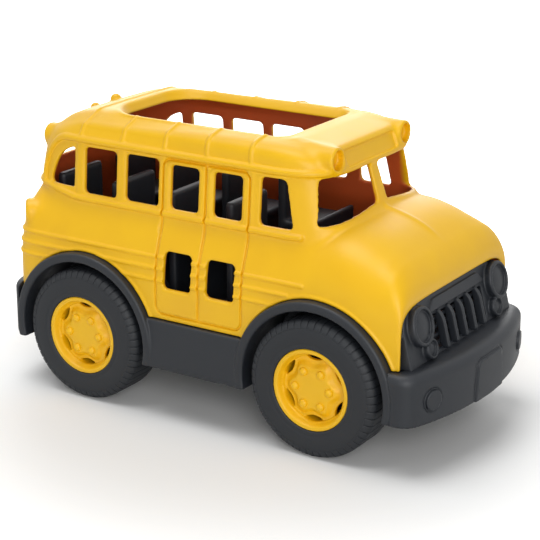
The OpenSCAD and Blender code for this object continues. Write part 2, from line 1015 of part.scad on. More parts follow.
module bumper_plate(depth) {
    intersection() {
        translate([depth - bumper_curve, 0, skirt_bottom + 1])
            difference() {
                cylinder(r = bumper_curve + 0.8, h = 18, $fn = 180);
                translate([0, 0, -1])
                    cylinder(r = bumper_curve - 1, h = 20, $fn = 180);
            }
        translate([0, -17, 0])
            cube([2 * depth, 34, tray_top]);
    }
}

module front_bumper() {
    depth = front_x - front_joint_x - 0.8;
    color(charcoal)
        translate([front_joint_x, 0, 0]) {
            bumper(depth);
            bumper_boss(depth);
            bumper_plate(depth);
        }
}

// Plan of the rear bumper round the tail of the shell, from its front edge back.
function rear_plan(inset) =
    [
        for (k = [0 : 24])
            let (a = 90 - 180 * k / 24)
            [
                -(rear_wrap - inset) * pow(abs(cos(a)), 2 / rear_wrap_power),
                (rear_wrap_half - inset) * signed_power(sin(a), 2 / rear_wrap_power)
            ]
    ];

module rear_layer(inset, low, high) {
    translate([rear_x + rear_wrap, 0, low])
        linear_extrude(high - low)
            polygon(rear_plan(inset));
}

module rear_bumper() {
    color(charcoal)
        difference() {
            hull() {
                rear_layer(0, skirt_bottom, rear_wrap_top - 4);
                rear_layer(0.8, rear_wrap_top - 4, rear_wrap_top - 1.6);
                rear_layer(1.8, rear_wrap_top - 1.6, rear_wrap_top);
            }
            rear_layer(tray_wall, skirt_bottom - 1, tray_bottom);
            rear_layer(tray_wall, tray_top - seat_gap, rear_wrap_top + 1);
            translate([rear_joint_x, -bus_width, 0])
                cube([bus_length, 2 * bus_width, roof_height]);
        }
}

module axle(x) {
    reach = axle_stop - seat_gap;
    color(charcoal)
        translate([x, reach, axle_z])
            rotate([90, 0, 0])
                cylinder(r = axle_radius, h = 2 * reach);
}

module front_axle() {
    axle(front_axle_x);
}

module rear_axle() {
    axle(rear_axle_x);
}

bore_radius = hub_radius - 2.1;
lip_depth = 2.4;
notch_width = 1.2;
hub_face = tyre_face - 0.5;
hub_dish = hub_face - 4.2;
axle_stop = hub_dish - 0.6;

// Half section of a tyre as [radius, distance from the middle of the bus].
function tyre_section() = concat(
    [
        [bore_radius, tyre_back],
        [tyre_radius - 5, tyre_back]
    ],
    [for (a = [0 : 15 : 90]) [tyre_radius - 5 + 5 * sin(a), tyre_back + 5 - 5 * cos(a)]],
    [for (a = [0 : 15 : 90]) [tyre_radius - 4 + 4 * cos(a), tyre_face - 4 + 4 * sin(a)]],
    [
        [hub_radius + press_gap, tyre_face],
        [hub_radius + press_gap, tyre_face - 0.5 - lip_depth],
        [bore_radius, tyre_face - 0.5 - lip_depth]
    ]
);

module tyre(x) {
    color(charcoal)
        translate([x, 0, axle_z])
            rotate([90, 0, 0])
                difference() {
                    rotate_extrude($fn = 96)
                        polygon(tyre_section());
                    for (k = [0 : tread_blocks - 1])
                        rotate([0, 0, 360 * (k + 0.5) / tread_blocks - 90])
                            translate([tyre_radius - tread_depth, -notch_width / 2, tyre_back - 1])
                                cube([5, notch_width, tyre_width + 2]);
                }
}

// Half section of a hub: lip, barrel, dish, raised centre and axle boss.
function hub_section() =
    let (
        face = hub_face,
        shelf = face - lip_depth,
        dish = hub_dish,
        barrel = bore_radius - press_gap,
        boss = axle_radius + 3.5
    )
    [
        [0, axle_stop],
        [axle_radius + press_gap, axle_stop],
        [axle_radius + press_gap, well_back + 0.4],
        [boss, well_back + 0.4],
        [boss, dish - 2.4],
        [barrel - 2, dish - 2.4],
        [barrel - 2, tyre_back + 6],
        [barrel, tyre_back + 6],
        [barrel, shelf],
        [hub_radius, shelf],
        [hub_radius, face],
        [hub_radius - 2, face],
        [hub_radius - 4.2, dish],
        [0.6 * hub_radius, dish],
        [0.55 * hub_radius, face - 1.4],
        [0, face - 1.4]
    ];

module hub(x) {
    face = hub_face;
    stud_ring = 0.4 * hub_radius;
    slot_ring = 0.7 * hub_radius;
    lens_radius = 8;
    lens_offset = 6.9;
    color(yellow)
        translate([x, 0, axle_z])
            rotate([90, 0, 0]) {
                difference() {
                    rotate_extrude($fn = 96)
                        polygon(hub_section());
                    for (k = [0 : hub_spokes - 1])
                        rotate([0, 0, 360 * (k + 0.5) / hub_spokes])
                            intersection() {
                                translate([slot_ring - lens_offset, 0, face - 12])
                                    cylinder(r = lens_radius, h = 14);
                                translate([slot_ring + lens_offset, 0, face - 12])
                                    cylinder(r = lens_radius, h = 14);
                            }
                }
                for (k = [0 : hub_spokes - 1])
                    rotate([0, 0, 360 * k / hub_spokes])
                        translate([stud_ring, 0, face - 3])
                            cylinder(r1 = 2, r2 = 1.5, h = 2.6, $fn = 24);
            }
}

module tyre_front_left() {
    mirror([0, 1, 0]) tyre(front_axle_x);
}

module tyre_front_right() {
    tyre(front_axle_x);
}

module tyre_rear_left() {
    mirror([0, 1, 0]) tyre(rear_axle_x);
}

module tyre_rear_right() {
    tyre(rear_axle_x);
}

module hub_front_left() {
    mirror([0, 1, 0]) hub(front_axle_x);
}

module hub_front_right() {
    hub(front_axle_x);
}

module hub_rear_left() {
    mirror([0, 1, 0]) hub(rear_axle_x);
}

module hub_rear_right() {
    hub(rear_axle_x);
}

body_shell();
chassis();
seat_deck();
grille_panel();
front_bumper();
rear_bumper();
front_axle();
rear_axle();
tyre_front_left();
tyre_front_right();
tyre_rear_left();
tyre_rear_right();
hub_front_left();
hub_front_right();
hub_rear_left();
hub_rear_right();
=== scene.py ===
"""Looks, light and camera for a moulded plastic toy bus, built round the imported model."""
import json
import logging
import math
from dataclasses import dataclass, field
from enum import Enum
from typing import Any, Callable, Iterable, Sequence

import bmesh
import bpy
import numpy as np
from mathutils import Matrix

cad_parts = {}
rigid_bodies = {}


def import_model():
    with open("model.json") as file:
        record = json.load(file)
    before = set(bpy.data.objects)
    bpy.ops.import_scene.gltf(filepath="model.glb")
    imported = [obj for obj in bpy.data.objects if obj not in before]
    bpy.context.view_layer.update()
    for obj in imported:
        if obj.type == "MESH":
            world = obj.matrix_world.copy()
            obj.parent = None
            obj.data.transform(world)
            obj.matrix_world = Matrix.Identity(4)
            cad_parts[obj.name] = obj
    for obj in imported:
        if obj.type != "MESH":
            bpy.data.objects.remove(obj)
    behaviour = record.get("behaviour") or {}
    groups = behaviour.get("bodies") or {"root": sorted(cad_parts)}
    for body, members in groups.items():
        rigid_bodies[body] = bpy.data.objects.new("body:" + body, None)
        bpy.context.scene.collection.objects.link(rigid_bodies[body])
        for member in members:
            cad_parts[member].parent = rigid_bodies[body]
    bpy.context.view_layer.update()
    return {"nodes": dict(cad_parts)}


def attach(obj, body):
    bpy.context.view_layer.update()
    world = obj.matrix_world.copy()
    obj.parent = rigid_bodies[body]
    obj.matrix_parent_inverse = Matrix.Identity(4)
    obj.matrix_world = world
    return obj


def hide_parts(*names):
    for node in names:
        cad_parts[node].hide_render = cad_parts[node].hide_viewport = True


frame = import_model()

import openvdb
from mathutils import Matrix, Vector

LOG = logging.getLogger("toy_bus")
MM = 0.001
PAINTED_SHADE_ATTRIBUTE = "inside"
AXLE_Z = 36.3
Array = np.ndarray
Point = tuple[float, float, float]
Pairs = tuple[tuple[float, float], ...]
Shape = Callable[[Array, Array, Array], Array]


class Side(Enum):
    """Which side of the bus a piece is on, as the sign of Y."""

    LEFT = 1
    RIGHT = -1


class Axle(Enum):
    """Which axle a wheel is on, as the axle's place along the bus in millimetres."""

    FRONT = 66.0
    REAR = -78.0

    @property
    def body(self) -> str:
        """Name of the moving body that carries this axle's wheels."""
        return f"{self.name.lower()}_wheelset"


# Small helpers


def linear(hex_code: str) -> tuple[float, float, float, float]:
    """Turns an sRGB hex colour into linear RGBA.

    Args:
        hex_code: Six hex digits with a leading hash.

    Returns:
        Linear red, green, blue and an alpha of one.
    """
    parts = [int(hex_code[i:i + 2], 16) / 255 for i in (1, 3, 5)]
    rgb = [p / 12.92 if p <= 0.04045 else ((p + 0.055) / 1.055) ** 2.4 for p in parts]
    return (rgb[0], rgb[1], rgb[2], 1.0)


def add_node(tree: bpy.types.NodeTree, kind: str, settings: dict[str, Any] | None = None,
             inputs: dict[Any, Any] | None = None) -> bpy.types.Node:
    """Adds a node, sets its properties, and sets or links its inputs.

    Args:
        tree: Node tree that takes the node.
        kind: Blender's type name of the node.
        settings: Properties to set on the node.
        inputs: Input name or index to a plain value, or to the output socket to link from.

    Returns:
        The new node.
    """
    node = tree.nodes.new(kind)
    for name, value in (settings or {}).items():
        setattr(node, name, value)
    for key, value in (inputs or {}).items():
        if isinstance(value, bpy.types.NodeSocket):
            tree.links.new(value, node.inputs[key])
        else:
            node.inputs[key].default_value = value
    return node


def ramp(x: Array, start: float, stop: float) -> Array:
    """Smooth step from 0 at start to 1 at stop."""
    t = np.clip((x - start) / (stop - start), 0.0, 1.0)
    return t * t * (3 - 2 * t)


def soft_min(a: Array, b: Array, blend: float) -> Array:
    """Union of two fields with a fillet of about the blend width."""
    h = np.clip(0.5 + 0.5 * (b - a) / blend, 0.0, 1.0)
    return b + (a - b) * h - blend * h * (1 - h)


def soft_max(a: Array, b: Array, blend: float) -> Array:
    """Overlap of two fields with edges rounded by about the blend width."""
    return -soft_min(-a, -b, blend)


def round_rect(u: Array, v: Array, half_u: float, half_v: float, radius: Any) -> Array:
    """Signed distance to a rounded rectangle centred on the origin.

    Args:
        u: First coordinate.
        v: Second coordinate.
        half_u: Half the size along u.
        half_v: Half the size along v.
        radius: Corner radius, a number or an array.

    Returns:
        Distance, negative inside.
    """
    qu = np.abs(u) - (half_u - radius)
    qv = np.abs(v) - (half_v - radius)
    return np.hypot(np.maximum(qu, 0), np.maximum(qv, 0)) + np.minimum(np.maximum(qu, qv), 0) - radius


def round_box(p: Sequence[Array], low: Point, high: Point, radius: float) -> Array:
    """Signed distance to a box between two corners, with rounded edges.

    Args:
        p: The three coordinates.
        low: Lowest corner.
        high: Highest corner.
        radius: Radius of the edges.

    Returns:
        Distance, negative inside.
    """
    q = [np.abs(c - (a + b) / 2) - ((b - a) / 2 - radius) for c, a, b in zip(p, low, high)]
    outside = np.sqrt(sum(np.maximum(c, 0) ** 2 for c in q))
    return outside + np.minimum(np.maximum(np.maximum(q[0], q[1]), q[2]), 0) - radius


def path_distance(u: Array, v: Array, path: Sequence[tuple[float, float]]) -> Array:
    """Distance in a plane to a line through points.

    Args:
        u: First coordinate.
        v: Second coordinate.
        path: Points in order.

    Returns:
        Distance, never negative.
    """
    best = np.full(np.broadcast(u, v).shape, 1e6, np.float32)
    for (au, av), (bu, bv) in zip(path[:-1], path[1:]):
        du, dv = bu - au, bv - av
        t = np.clip(((u - au) * du + (v - av) * dv) / (du * du + dv * dv), 0, 1)
        best = np.minimum(best, np.hypot(u - au - t * du, v - av - t * dv))
    return best


def convex(u: Array, v: Array, corners: Sequence[tuple[float, float]], blend: float) -> Array:
    """Distance to a convex outline given anticlockwise, with softened corners.

    Args:
        u: First coordinate.
        v: Second coordinate.
        corners: Corners in order.
        blend: Width of the softening.

    Returns:
        Distance, negative inside.
    """
    result = None
    for (au, av), (bu, bv) in zip(corners, list(corners[1:]) + [corners[0]]):
        length = math.hypot(bu - au, bv - av)
        plane = ((u - au) * (bv - av) - (v - av) * (bu - au)) / length
        result = plane if result is None else soft_max(result, plane, blend)
    return result


# Moulding of closed pieces


@dataclass
class Mould:
    """A block of sampled distances in millimetres that pieces are joined to and carved from."""

    low: Point
    high: Point
    pitch: float
    values: Array = field(init=False)
    axes: list[Array] = field(init=False)

    def __post_init__(self) -> None:
        """Lays out the sample lines and fills the block with empty space."""
        shape = [int(math.ceil((b - a) / self.pitch)) + 1 for a, b in zip(self.low, self.high)]
        self.axes = [a + self.pitch * np.arange(n, dtype=np.float32) for a, n in zip(self.low, shape)]
        self.values = np.full(shape, 50.0, np.float32)

    def part(self, low: Point | None, high: Point | None) -> tuple[slice, slice, slice]:
        """Index ranges of the samples between two corners.

        Args:
            low: Lowest corner, or None for the whole block.
            high: Highest corner, or None.

        Returns:
            One range for each axis.
        """
        if low is None or high is None:
            return slice(None), slice(None), slice(None)
        found = []
        for axis, a, b in zip(self.axes, low, high):
            found.append(slice(int(np.searchsorted(axis, a)), int(np.searchsorted(axis, b, side="right"))))
        return found[0], found[1], found[2]

    def grid(self, part: tuple[slice, slice, slice]) -> tuple[Array, Array, Array]:
        """Coordinates of the samples of a part, shaped to broadcast."""
        x, y, z = (axis[s] for axis, s in zip(self.axes, part))
        return x[:, None, None], y[None, :, None], z[None, None, :]

    def join(self, shape: Shape, blend: float = 0.6, low: Point | None = None,
             high: Point | None = None) -> None:
        """Adds material with a fillet.

        Args:
            shape: Gives the distance to the added form.
            blend: Fillet width.
            low: Lowest corner of the region that changes.
            high: Highest corner of that region.
        """
        part = self.part(low, high)
        self.values[part] = soft_min(self.values[part], shape(*self.grid(part)), blend)

    def carve(self, shape: Shape, blend: float = 0.6, low: Point | None = None,
              high: Point | None = None) -> None:
        """Takes material away and rounds the edge left; arguments as for join."""
        part = self.part(low, high)
        self.values[part] = soft_max(self.values[part], -shape(*self.grid(part)), blend)

    def loft(self, rings: Array) -> Array:
        """Distances to the closed skin through a stack of rings.

        Args:
            rings: Array of rings, points and coordinates.

        Returns:
            Distances at every sample, right to about nine millimetres from the skin.
        """
        m, n, _ = rings.shape
        points = (rings.reshape(-1, 3) - np.array(self.low)).astype(np.float32)
        i, j = np.meshgrid(np.arange(m - 1), np.arange(n), indexing="ij")
        k = (j + 1) % n
        quads = np.stack([i * n + j, (i + 1) * n + j, (i + 1) * n + k, i * n + k], -1).reshape(-1, 4)
        fan = np.arange(1, n - 1)
        first = np.stack([np.zeros_like(fan), fan, fan + 1], -1)
        last = np.stack([np.zeros_like(fan), fan + 1, fan], -1) + (m - 1) * n
        skin = openvdb.FloatGrid.createLevelSetFromPolygons(
            points, triangles=np.concatenate([first, last]).astype(np.uint32), quads=quads.astype(np.uint32),
            transform=openvdb.createLinearTransform(self.pitch), halfWidth=9.0 / self.pitch)
        result = np.zeros(self.values.shape, np.float32)
        skin.copyToArray(result, ijk=(0, 0, 0))
        return result

    def sample(self, where: Array, block: Array | None = None) -> Array:
        """Values at places given in sample steps, by straight interpolation.

        Args:
            where: Places, as rows of three.
            block: Sampled values, the moulded piece's own if left out.

        Returns:
            One value for each place.
        """
        block = self.values if block is None else block
        top = np.array(self.values.shape) - 2
        base = np.clip(np.floor(where).astype(int), 0, top)
        f = where - base
        total = np.zeros(len(where), np.float32)
        for dx in (0, 1):
            for dy in (0, 1):
                for dz in (0, 1):
                    weight = (np.abs(1 - dx - f[:, 0]) * np.abs(1 - dy - f[:, 1]) * np.abs(1 - dz - f[:, 2]))
                    total += weight * block[base[:, 0] + dx, base[:, 1] + dy, base[:, 2] + dz]
        return total

    def cast(self, name: str, thinning: float = 0.03) -> bpy.types.Object:
        """Makes the mesh of the moulded piece, with smooth normals taken from the distances.

        Args:
            name: Name of the piece.
            thinning: How far flat areas are drawn with larger faces, from 0 to 1.

        Returns:
            The new object, at the origin, in metres.
        """
        grid = openvdb.FloatGrid(background=3 * self.pitch)
        grid.copyFromArray(np.clip(self.values, -3 * self.pitch, 3 * self.pitch))
        points, triangles, quads = grid.convertToPolygons(isovalue=0.0, adaptivity=thinning)
        slope = np.zeros_like(points)
        for axis in range(3):
            step = np.zeros(3, np.float32)
            step[axis] = 0.6
            slope[:, axis] = self.sample(points + step) - self.sample(points - step)
        length = np.linalg.norm(slope, axis=1, keepdims=True)
        normals = slope / np.maximum(length, 1e-6)
        places = (points * self.pitch + np.array(self.low)) * MM
        faces = [tuple(t) for t in triangles[:, ::-1].tolist()] + [tuple(q) for q in quads[:, ::-1].tolist()]
        mesh = bpy.data.meshes.new(name)
        mesh.from_pydata(places.tolist(), [], faces)
        mesh.polygons.foreach_set("use_smooth", np.ones(len(mesh.polygons), bool))
        face_normals = np.zeros(len(mesh.polygons) * 3, np.float32)
        mesh.polygons.foreach_get("normal", face_normals)
        starts = np.array([f[0] for f in faces])
        if float((face_normals.reshape(-1, 3) * normals[starts]).sum()) < 0:
            mesh.flip_normals()
        mesh.update()
        mesh.normals_split_custom_set_from_vertices(normals.tolist())
        obj = bpy.data.objects.new(name, mesh)
        bpy.context.scene.collection.objects.link(obj)
        return obj


def finish_piece(obj: bpy.types.Object, body: str, material: bpy.types.Material,
                 nodes: Iterable[str] = ()) -> bpy.types.Object:
    """Gives a piece its material and its body, and hides the CAD nodes it stands for.

    Args:
        obj: The piece, in place.
        body: CAD body it moves with.
        material: Finish to put on it.
        nodes: CAD nodes that it replaces.

    Returns:
        The same piece.
    """
    obj.data.materials.clear()
    obj.data.materials.append(material)
    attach(obj, body)
    if nodes:
        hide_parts(*nodes)
    LOG.info("%s: %d faces on %s", obj.name, len(obj.data.polygons), body)
    return obj


# Finishes


@dataclass(frozen=True)
class MouldedPlastic:
    """Injection-moulded toy plastic with a satin skin and faint flow mottling.

    The eye sees one even colour, a broad soft highlight and a fine eggshell grain from the tool.
    """

    name: str
    tone: str
    deep: str
    roughness: float
    grain_mm: float
    grain_height_mm: float
    mottle_mm: float = 28.0
    # inner: tone of the inner faces, painted shade and painted light through the thin wall.
    inner: str = ""

    def material(self) -> bpy.types.Material:
        """Builds the node material for this plastic.

        Returns:
            The new material.
        """
        made = bpy.data.materials.new(self.name)
        made.use_nodes = True
        tree = made.node_tree
        tree.nodes.clear()
        place = add_node(tree, "ShaderNodeTexCoord").outputs["Object"]
        # Flow mottling: broad soft patches where the plastic set a little unevenly.
        mottle = add_node(tree, "ShaderNodeTexNoise", inputs={
            "Vector": place, "Scale": 1 / (self.mottle_mm * MM), "Detail": 3.0, "Roughness": 0.55})
        tint = add_node(tree, "ShaderNodeValToRGB", inputs={"Fac": mottle.outputs["Fac"]})
        tint.color_ramp.elements[0].position = 0.3
        tint.color_ramp.elements[0].color = linear(self.deep)
        tint.color_ramp.elements[1].position = 0.7
        tint.color_ramp.elements[1].color = linear(self.tone)
        shade = tint.outputs["Color"]
        if self.inner:
            # Painted shade and painted light: inner faces below the roof rim get a red-brown tone that stands
            # for the shade inside the shell and the warm light coming through its thin walls.
            inside = add_node(tree, "ShaderNodeAttribute", {"attribute_name": PAINTED_SHADE_ATTRIBUTE})
            shade = add_node(tree, "ShaderNodeMix", {"data_type": "RGBA"}, {
                0: inside.outputs["Fac"], 6: shade, 7: linear(self.inner)}).outputs[2]
        # Tool grain: real grain is near 0.2 mm, drawn coarser so that it shows at this size.
        grain = add_node(tree, "ShaderNodeTexNoise", inputs={
            "Vector": place, "Scale": 1 / (self.grain_mm * MM), "Detail": 2.0, "Roughness": 0.6})
        bump = add_node(tree, "ShaderNodeBump", inputs={
            "Height": grain.outputs["Fac"], "Strength": 0.6, "Distance": self.grain_height_mm * MM})
        polish = add_node(tree, "ShaderNodeMapRange", inputs={
            "Value": mottle.outputs["Fac"], "From Min": 0.25, "From Max": 0.75,
            "To Min": self.roughness - 0.04, "To Max": self.roughness + 0.05})
        shader = add_node(tree, "ShaderNodeBsdfPrincipled", inputs={
            "Base Color": shade, "Roughness": polish.outputs["Result"],
            "Normal": bump.outputs["Normal"], "IOR": 1.5})
        add_node(tree, "ShaderNodeOutputMaterial", inputs={"Surface": shader.outputs["BSDF"]})
        return made


# The yellow's inner tone is painted shade and painted light through the walls, not a colour of the plastic.
YELLOW = MouldedPlastic("yellow_polyethylene", "#EFBB04", "#EAB402", 0.44, 0.9, 0.03, inner="#D8602C")
CHARCOAL = MouldedPlastic("charcoal_polyethylene", "#1A1E24", "#161A20", 0.52, 0.9, 0.04)
TYRE = MouldedPlastic("tyre_polyethylene", "#171B20", "#14171C", 0.6, 1.1, 0.06)
ROD = MouldedPlastic("axle_polypropylene", "#17191D", "#141619", 0.5, 1.0, 0.03)


# Repeating pieces


class Repeater:
    """Geometry Nodes tree that repeats one small mesh along a row or round a ring about Y."""

    INPUTS: dict[str, tuple[str, Any]] = {
        "Count": ("NodeSocketInt", 1),
        "Start": ("NodeSocketVector", (0.0, 0.0, 0.0)),
        "Step": ("NodeSocketVector", (0.0, 0.0, 0.0)),
        "Phase": ("NodeSocketFloat", 0.0),
        "Turn": ("NodeSocketFloat", 0.0),
        "Tilt": ("NodeSocketFloat", 0.0),
        "Place": ("NodeSocketVector", (0.0, 0.0, 0.0)),
        "Finish": ("NodeSocketMaterial", None),
    }

    def __init__(self) -> None:
        """Builds the tree once."""
        tree = bpy.data.node_groups.new("repeat_moulded_detail", "GeometryNodeTree")
        face = tree.interface
        face.new_socket("Geometry", in_out="INPUT", socket_type="NodeSocketGeometry")
        self.ids = {name: face.new_socket(name, in_out="INPUT", socket_type=kind).identifier
                    for name, (kind, _) in self.INPUTS.items()}
        face.new_socket("Geometry", in_out="OUTPUT", socket_type="NodeSocketGeometry")
        given = add_node(tree, "NodeGroupInput").outputs
        index = add_node(tree, "GeometryNodeInputIndex").outputs["Index"]
        along = add_node(tree, "ShaderNodeVectorMath", {"operation": "SCALE"},
                         {0: given["Step"], "Scale": index})
        spot = add_node(tree, "ShaderNodeVectorMath", {"operation": "ADD"},
                        {0: given["Start"], 1: along.outputs["Vector"]})
        points = add_node(tree, "GeometryNodePoints", inputs={
            "Count": given["Count"], "Position": spot.outputs["Vector"]})
        angle = add_node(tree, "ShaderNodeMath", {"operation": "MULTIPLY_ADD"},
                         {0: index, 1: given["Turn"], 2: given["Phase"]})
        turn = add_node(tree, "ShaderNodeCombineXYZ", inputs={"Y": angle.outputs[0]})
        copies = add_node(tree, "GeometryNodeInstanceOnPoints", inputs={
            "Points": points.outputs[0], "Instance": given["Geometry"], "Rotation": turn.outputs[0]})
        lean = add_node(tree, "ShaderNodeCombineXYZ", inputs={"Y": given["Tilt"]})
        moved = add_node(tree, "GeometryNodeTransform", inputs={
            "Geometry": copies.outputs[0], "Translation": given["Place"], "Rotation": lean.outputs[0]})
        solid = add_node(tree, "GeometryNodeRealizeInstances", inputs={"Geometry": moved.outputs[0]})
        dressed = add_node(tree, "GeometryNodeSetMaterial", inputs={
            "Geometry": solid.outputs[0], "Material": given["Finish"]})
        add_node(tree, "NodeGroupOutput", inputs={0: dressed.outputs[0]})
        self.tree = tree

    def lay(self, obj: bpy.types.Object, **values: Any) -> bpy.types.Object:
        """Repeats an object's mesh and leaves the result as its plain mesh.

        Args:
            obj: Object that holds one copy of the detail.
            **values: Values for the tree's named inputs.

        Returns:
            The same object with the repeated mesh.
        """
        modifier = obj.modifiers.new("repeat", "NODES")
        modifier.node_group = self.tree
        for name, (_, default) in self.INPUTS.items():
            modifier[self.ids[name]] = values.get(name, default)
        seen = obj.evaluated_get(bpy.context.evaluated_depsgraph_get())
        mesh = bpy.data.meshes.new_from_object(seen)
        obj.modifiers.remove(modifier)
        obj.data = mesh
        mesh.name = obj.name
        return obj


def lathe(name: str, outline: Sequence[tuple[float, float]], steps: int, sweep: float = math.tau,
          start: float = 0.0) -> bpy.types.Object:
    """Turns a closed outline of radius and distance along Y round the Y axis.

    Args:
        name: Name of the new object.
        outline: Closed outline in millimetres, as radius and distance along Y.
        steps: Number of sections round the turn.
        sweep: Angle covered, in radians; a full turn closes on itself.
        start: First angle, in radians.

    Returns:
        The new object, turned about the origin.
    """
    full = abs(sweep - math.tau) < 1e-6
    count = steps if full else steps + 1
    verts, faces = [], []
    n = len(outline)
    for i in range(count):
        a = start + sweep * i / steps
        verts += [(r * math.cos(a) * MM, y * MM, r * math.sin(a) * MM) for r, y in outline]
    for i in range(steps):
        k = (i + 1) % count
        for j in range(n):
            m = (j + 1) % n
            faces.append((i * n + j, k * n + j, k * n + m, i * n + m))
    if not full:
        faces.append(tuple(range(n)))
        faces.append(tuple(range((count - 1) * n + n - 1, (count - 1) * n - 1, -1)))
    mesh = bpy.data.meshes.new(name)
    mesh.from_pydata(verts, [], faces)
    obj = bpy.data.objects.new(name, mesh)
    bpy.context.scene.collection.objects.link(obj)
    outward(mesh)
    return obj


def outward(mesh: bpy.types.Mesh) -> None:
    """Turns the faces of a closed mesh outwards and shades it smooth.

    Args:
        mesh: Mesh to change.
    """
    work = bmesh.new()
    work.from_mesh(mesh)
    bmesh.ops.remove_doubles(work, verts=work.verts, dist=1e-7)
    bmesh.ops.recalc_face_normals(work, faces=work.faces)
    work.to_mesh(mesh)
    work.free()
    mesh.polygons.foreach_set("use_smooth", np.ones(len(mesh.polygons), bool))
    mesh.update()


# The yellow shell


@dataclass(frozen=True)
class Pane:
    """Upright opening or frame with rounded corners, about a height."""

    height: float
    half_width: float
    half_height: float
    corner: float

    def outline(self, along: Array, z: Array, centre: float) -> Array:
        """Distance to the outline, about a place along its panel."""
        return round_rect(along - centre, z - self.height, self.half_width, self.half_height, self.corner)


@dataclass(frozen=True)
class LampTube:
    """Open lamp tube that lies along the bus, with sizes for the left side."""

    across: float
    height: float
    middle: float
    half: float
    radius: float
    edge: float
    bore_middle: float
    bore: float
    bore_half: float = 7.4
    room: float = 12.0

    def region(self, axis_y: float, middle: float, half: float) -> tuple[Point, Point]:
        """Corners of a region with room round a length of the tube."""
        return ((middle - half - self.room, axis_y - self.room, self.height - self.room),
                (middle + half + self.room, axis_y + self.room, self.height + self.room))

    def add(self, mould: Mould, sign: int) -> None:
        """Adds the tube to a moulding and opens its end.

        Args:
            mould: Block to add to.
            sign: Side of the bus, as the sign of Y.
        """
        axis_y = self.across * sign

        def drum(x: Array, y: Array, z: Array) -> Array:
            """Distance to the tube without its bore."""
            return round_rect(np.hypot(y - axis_y, z - self.height), x - self.middle,
                              self.radius, self.half, self.edge)

        def hole(x: Array, y: Array, z: Array) -> Array:
            """Distance to the bore."""
            return round_rect(np.hypot(y - axis_y, z - self.height), x - self.bore_middle,
                              self.bore, self.bore_half, 0.8)

        mould.join(drum, 2.6, *self.region(axis_y, self.middle, self.half))
        mould.carve(hole, 0.7, *self.region(axis_y, self.bore_middle, self.bore_half))


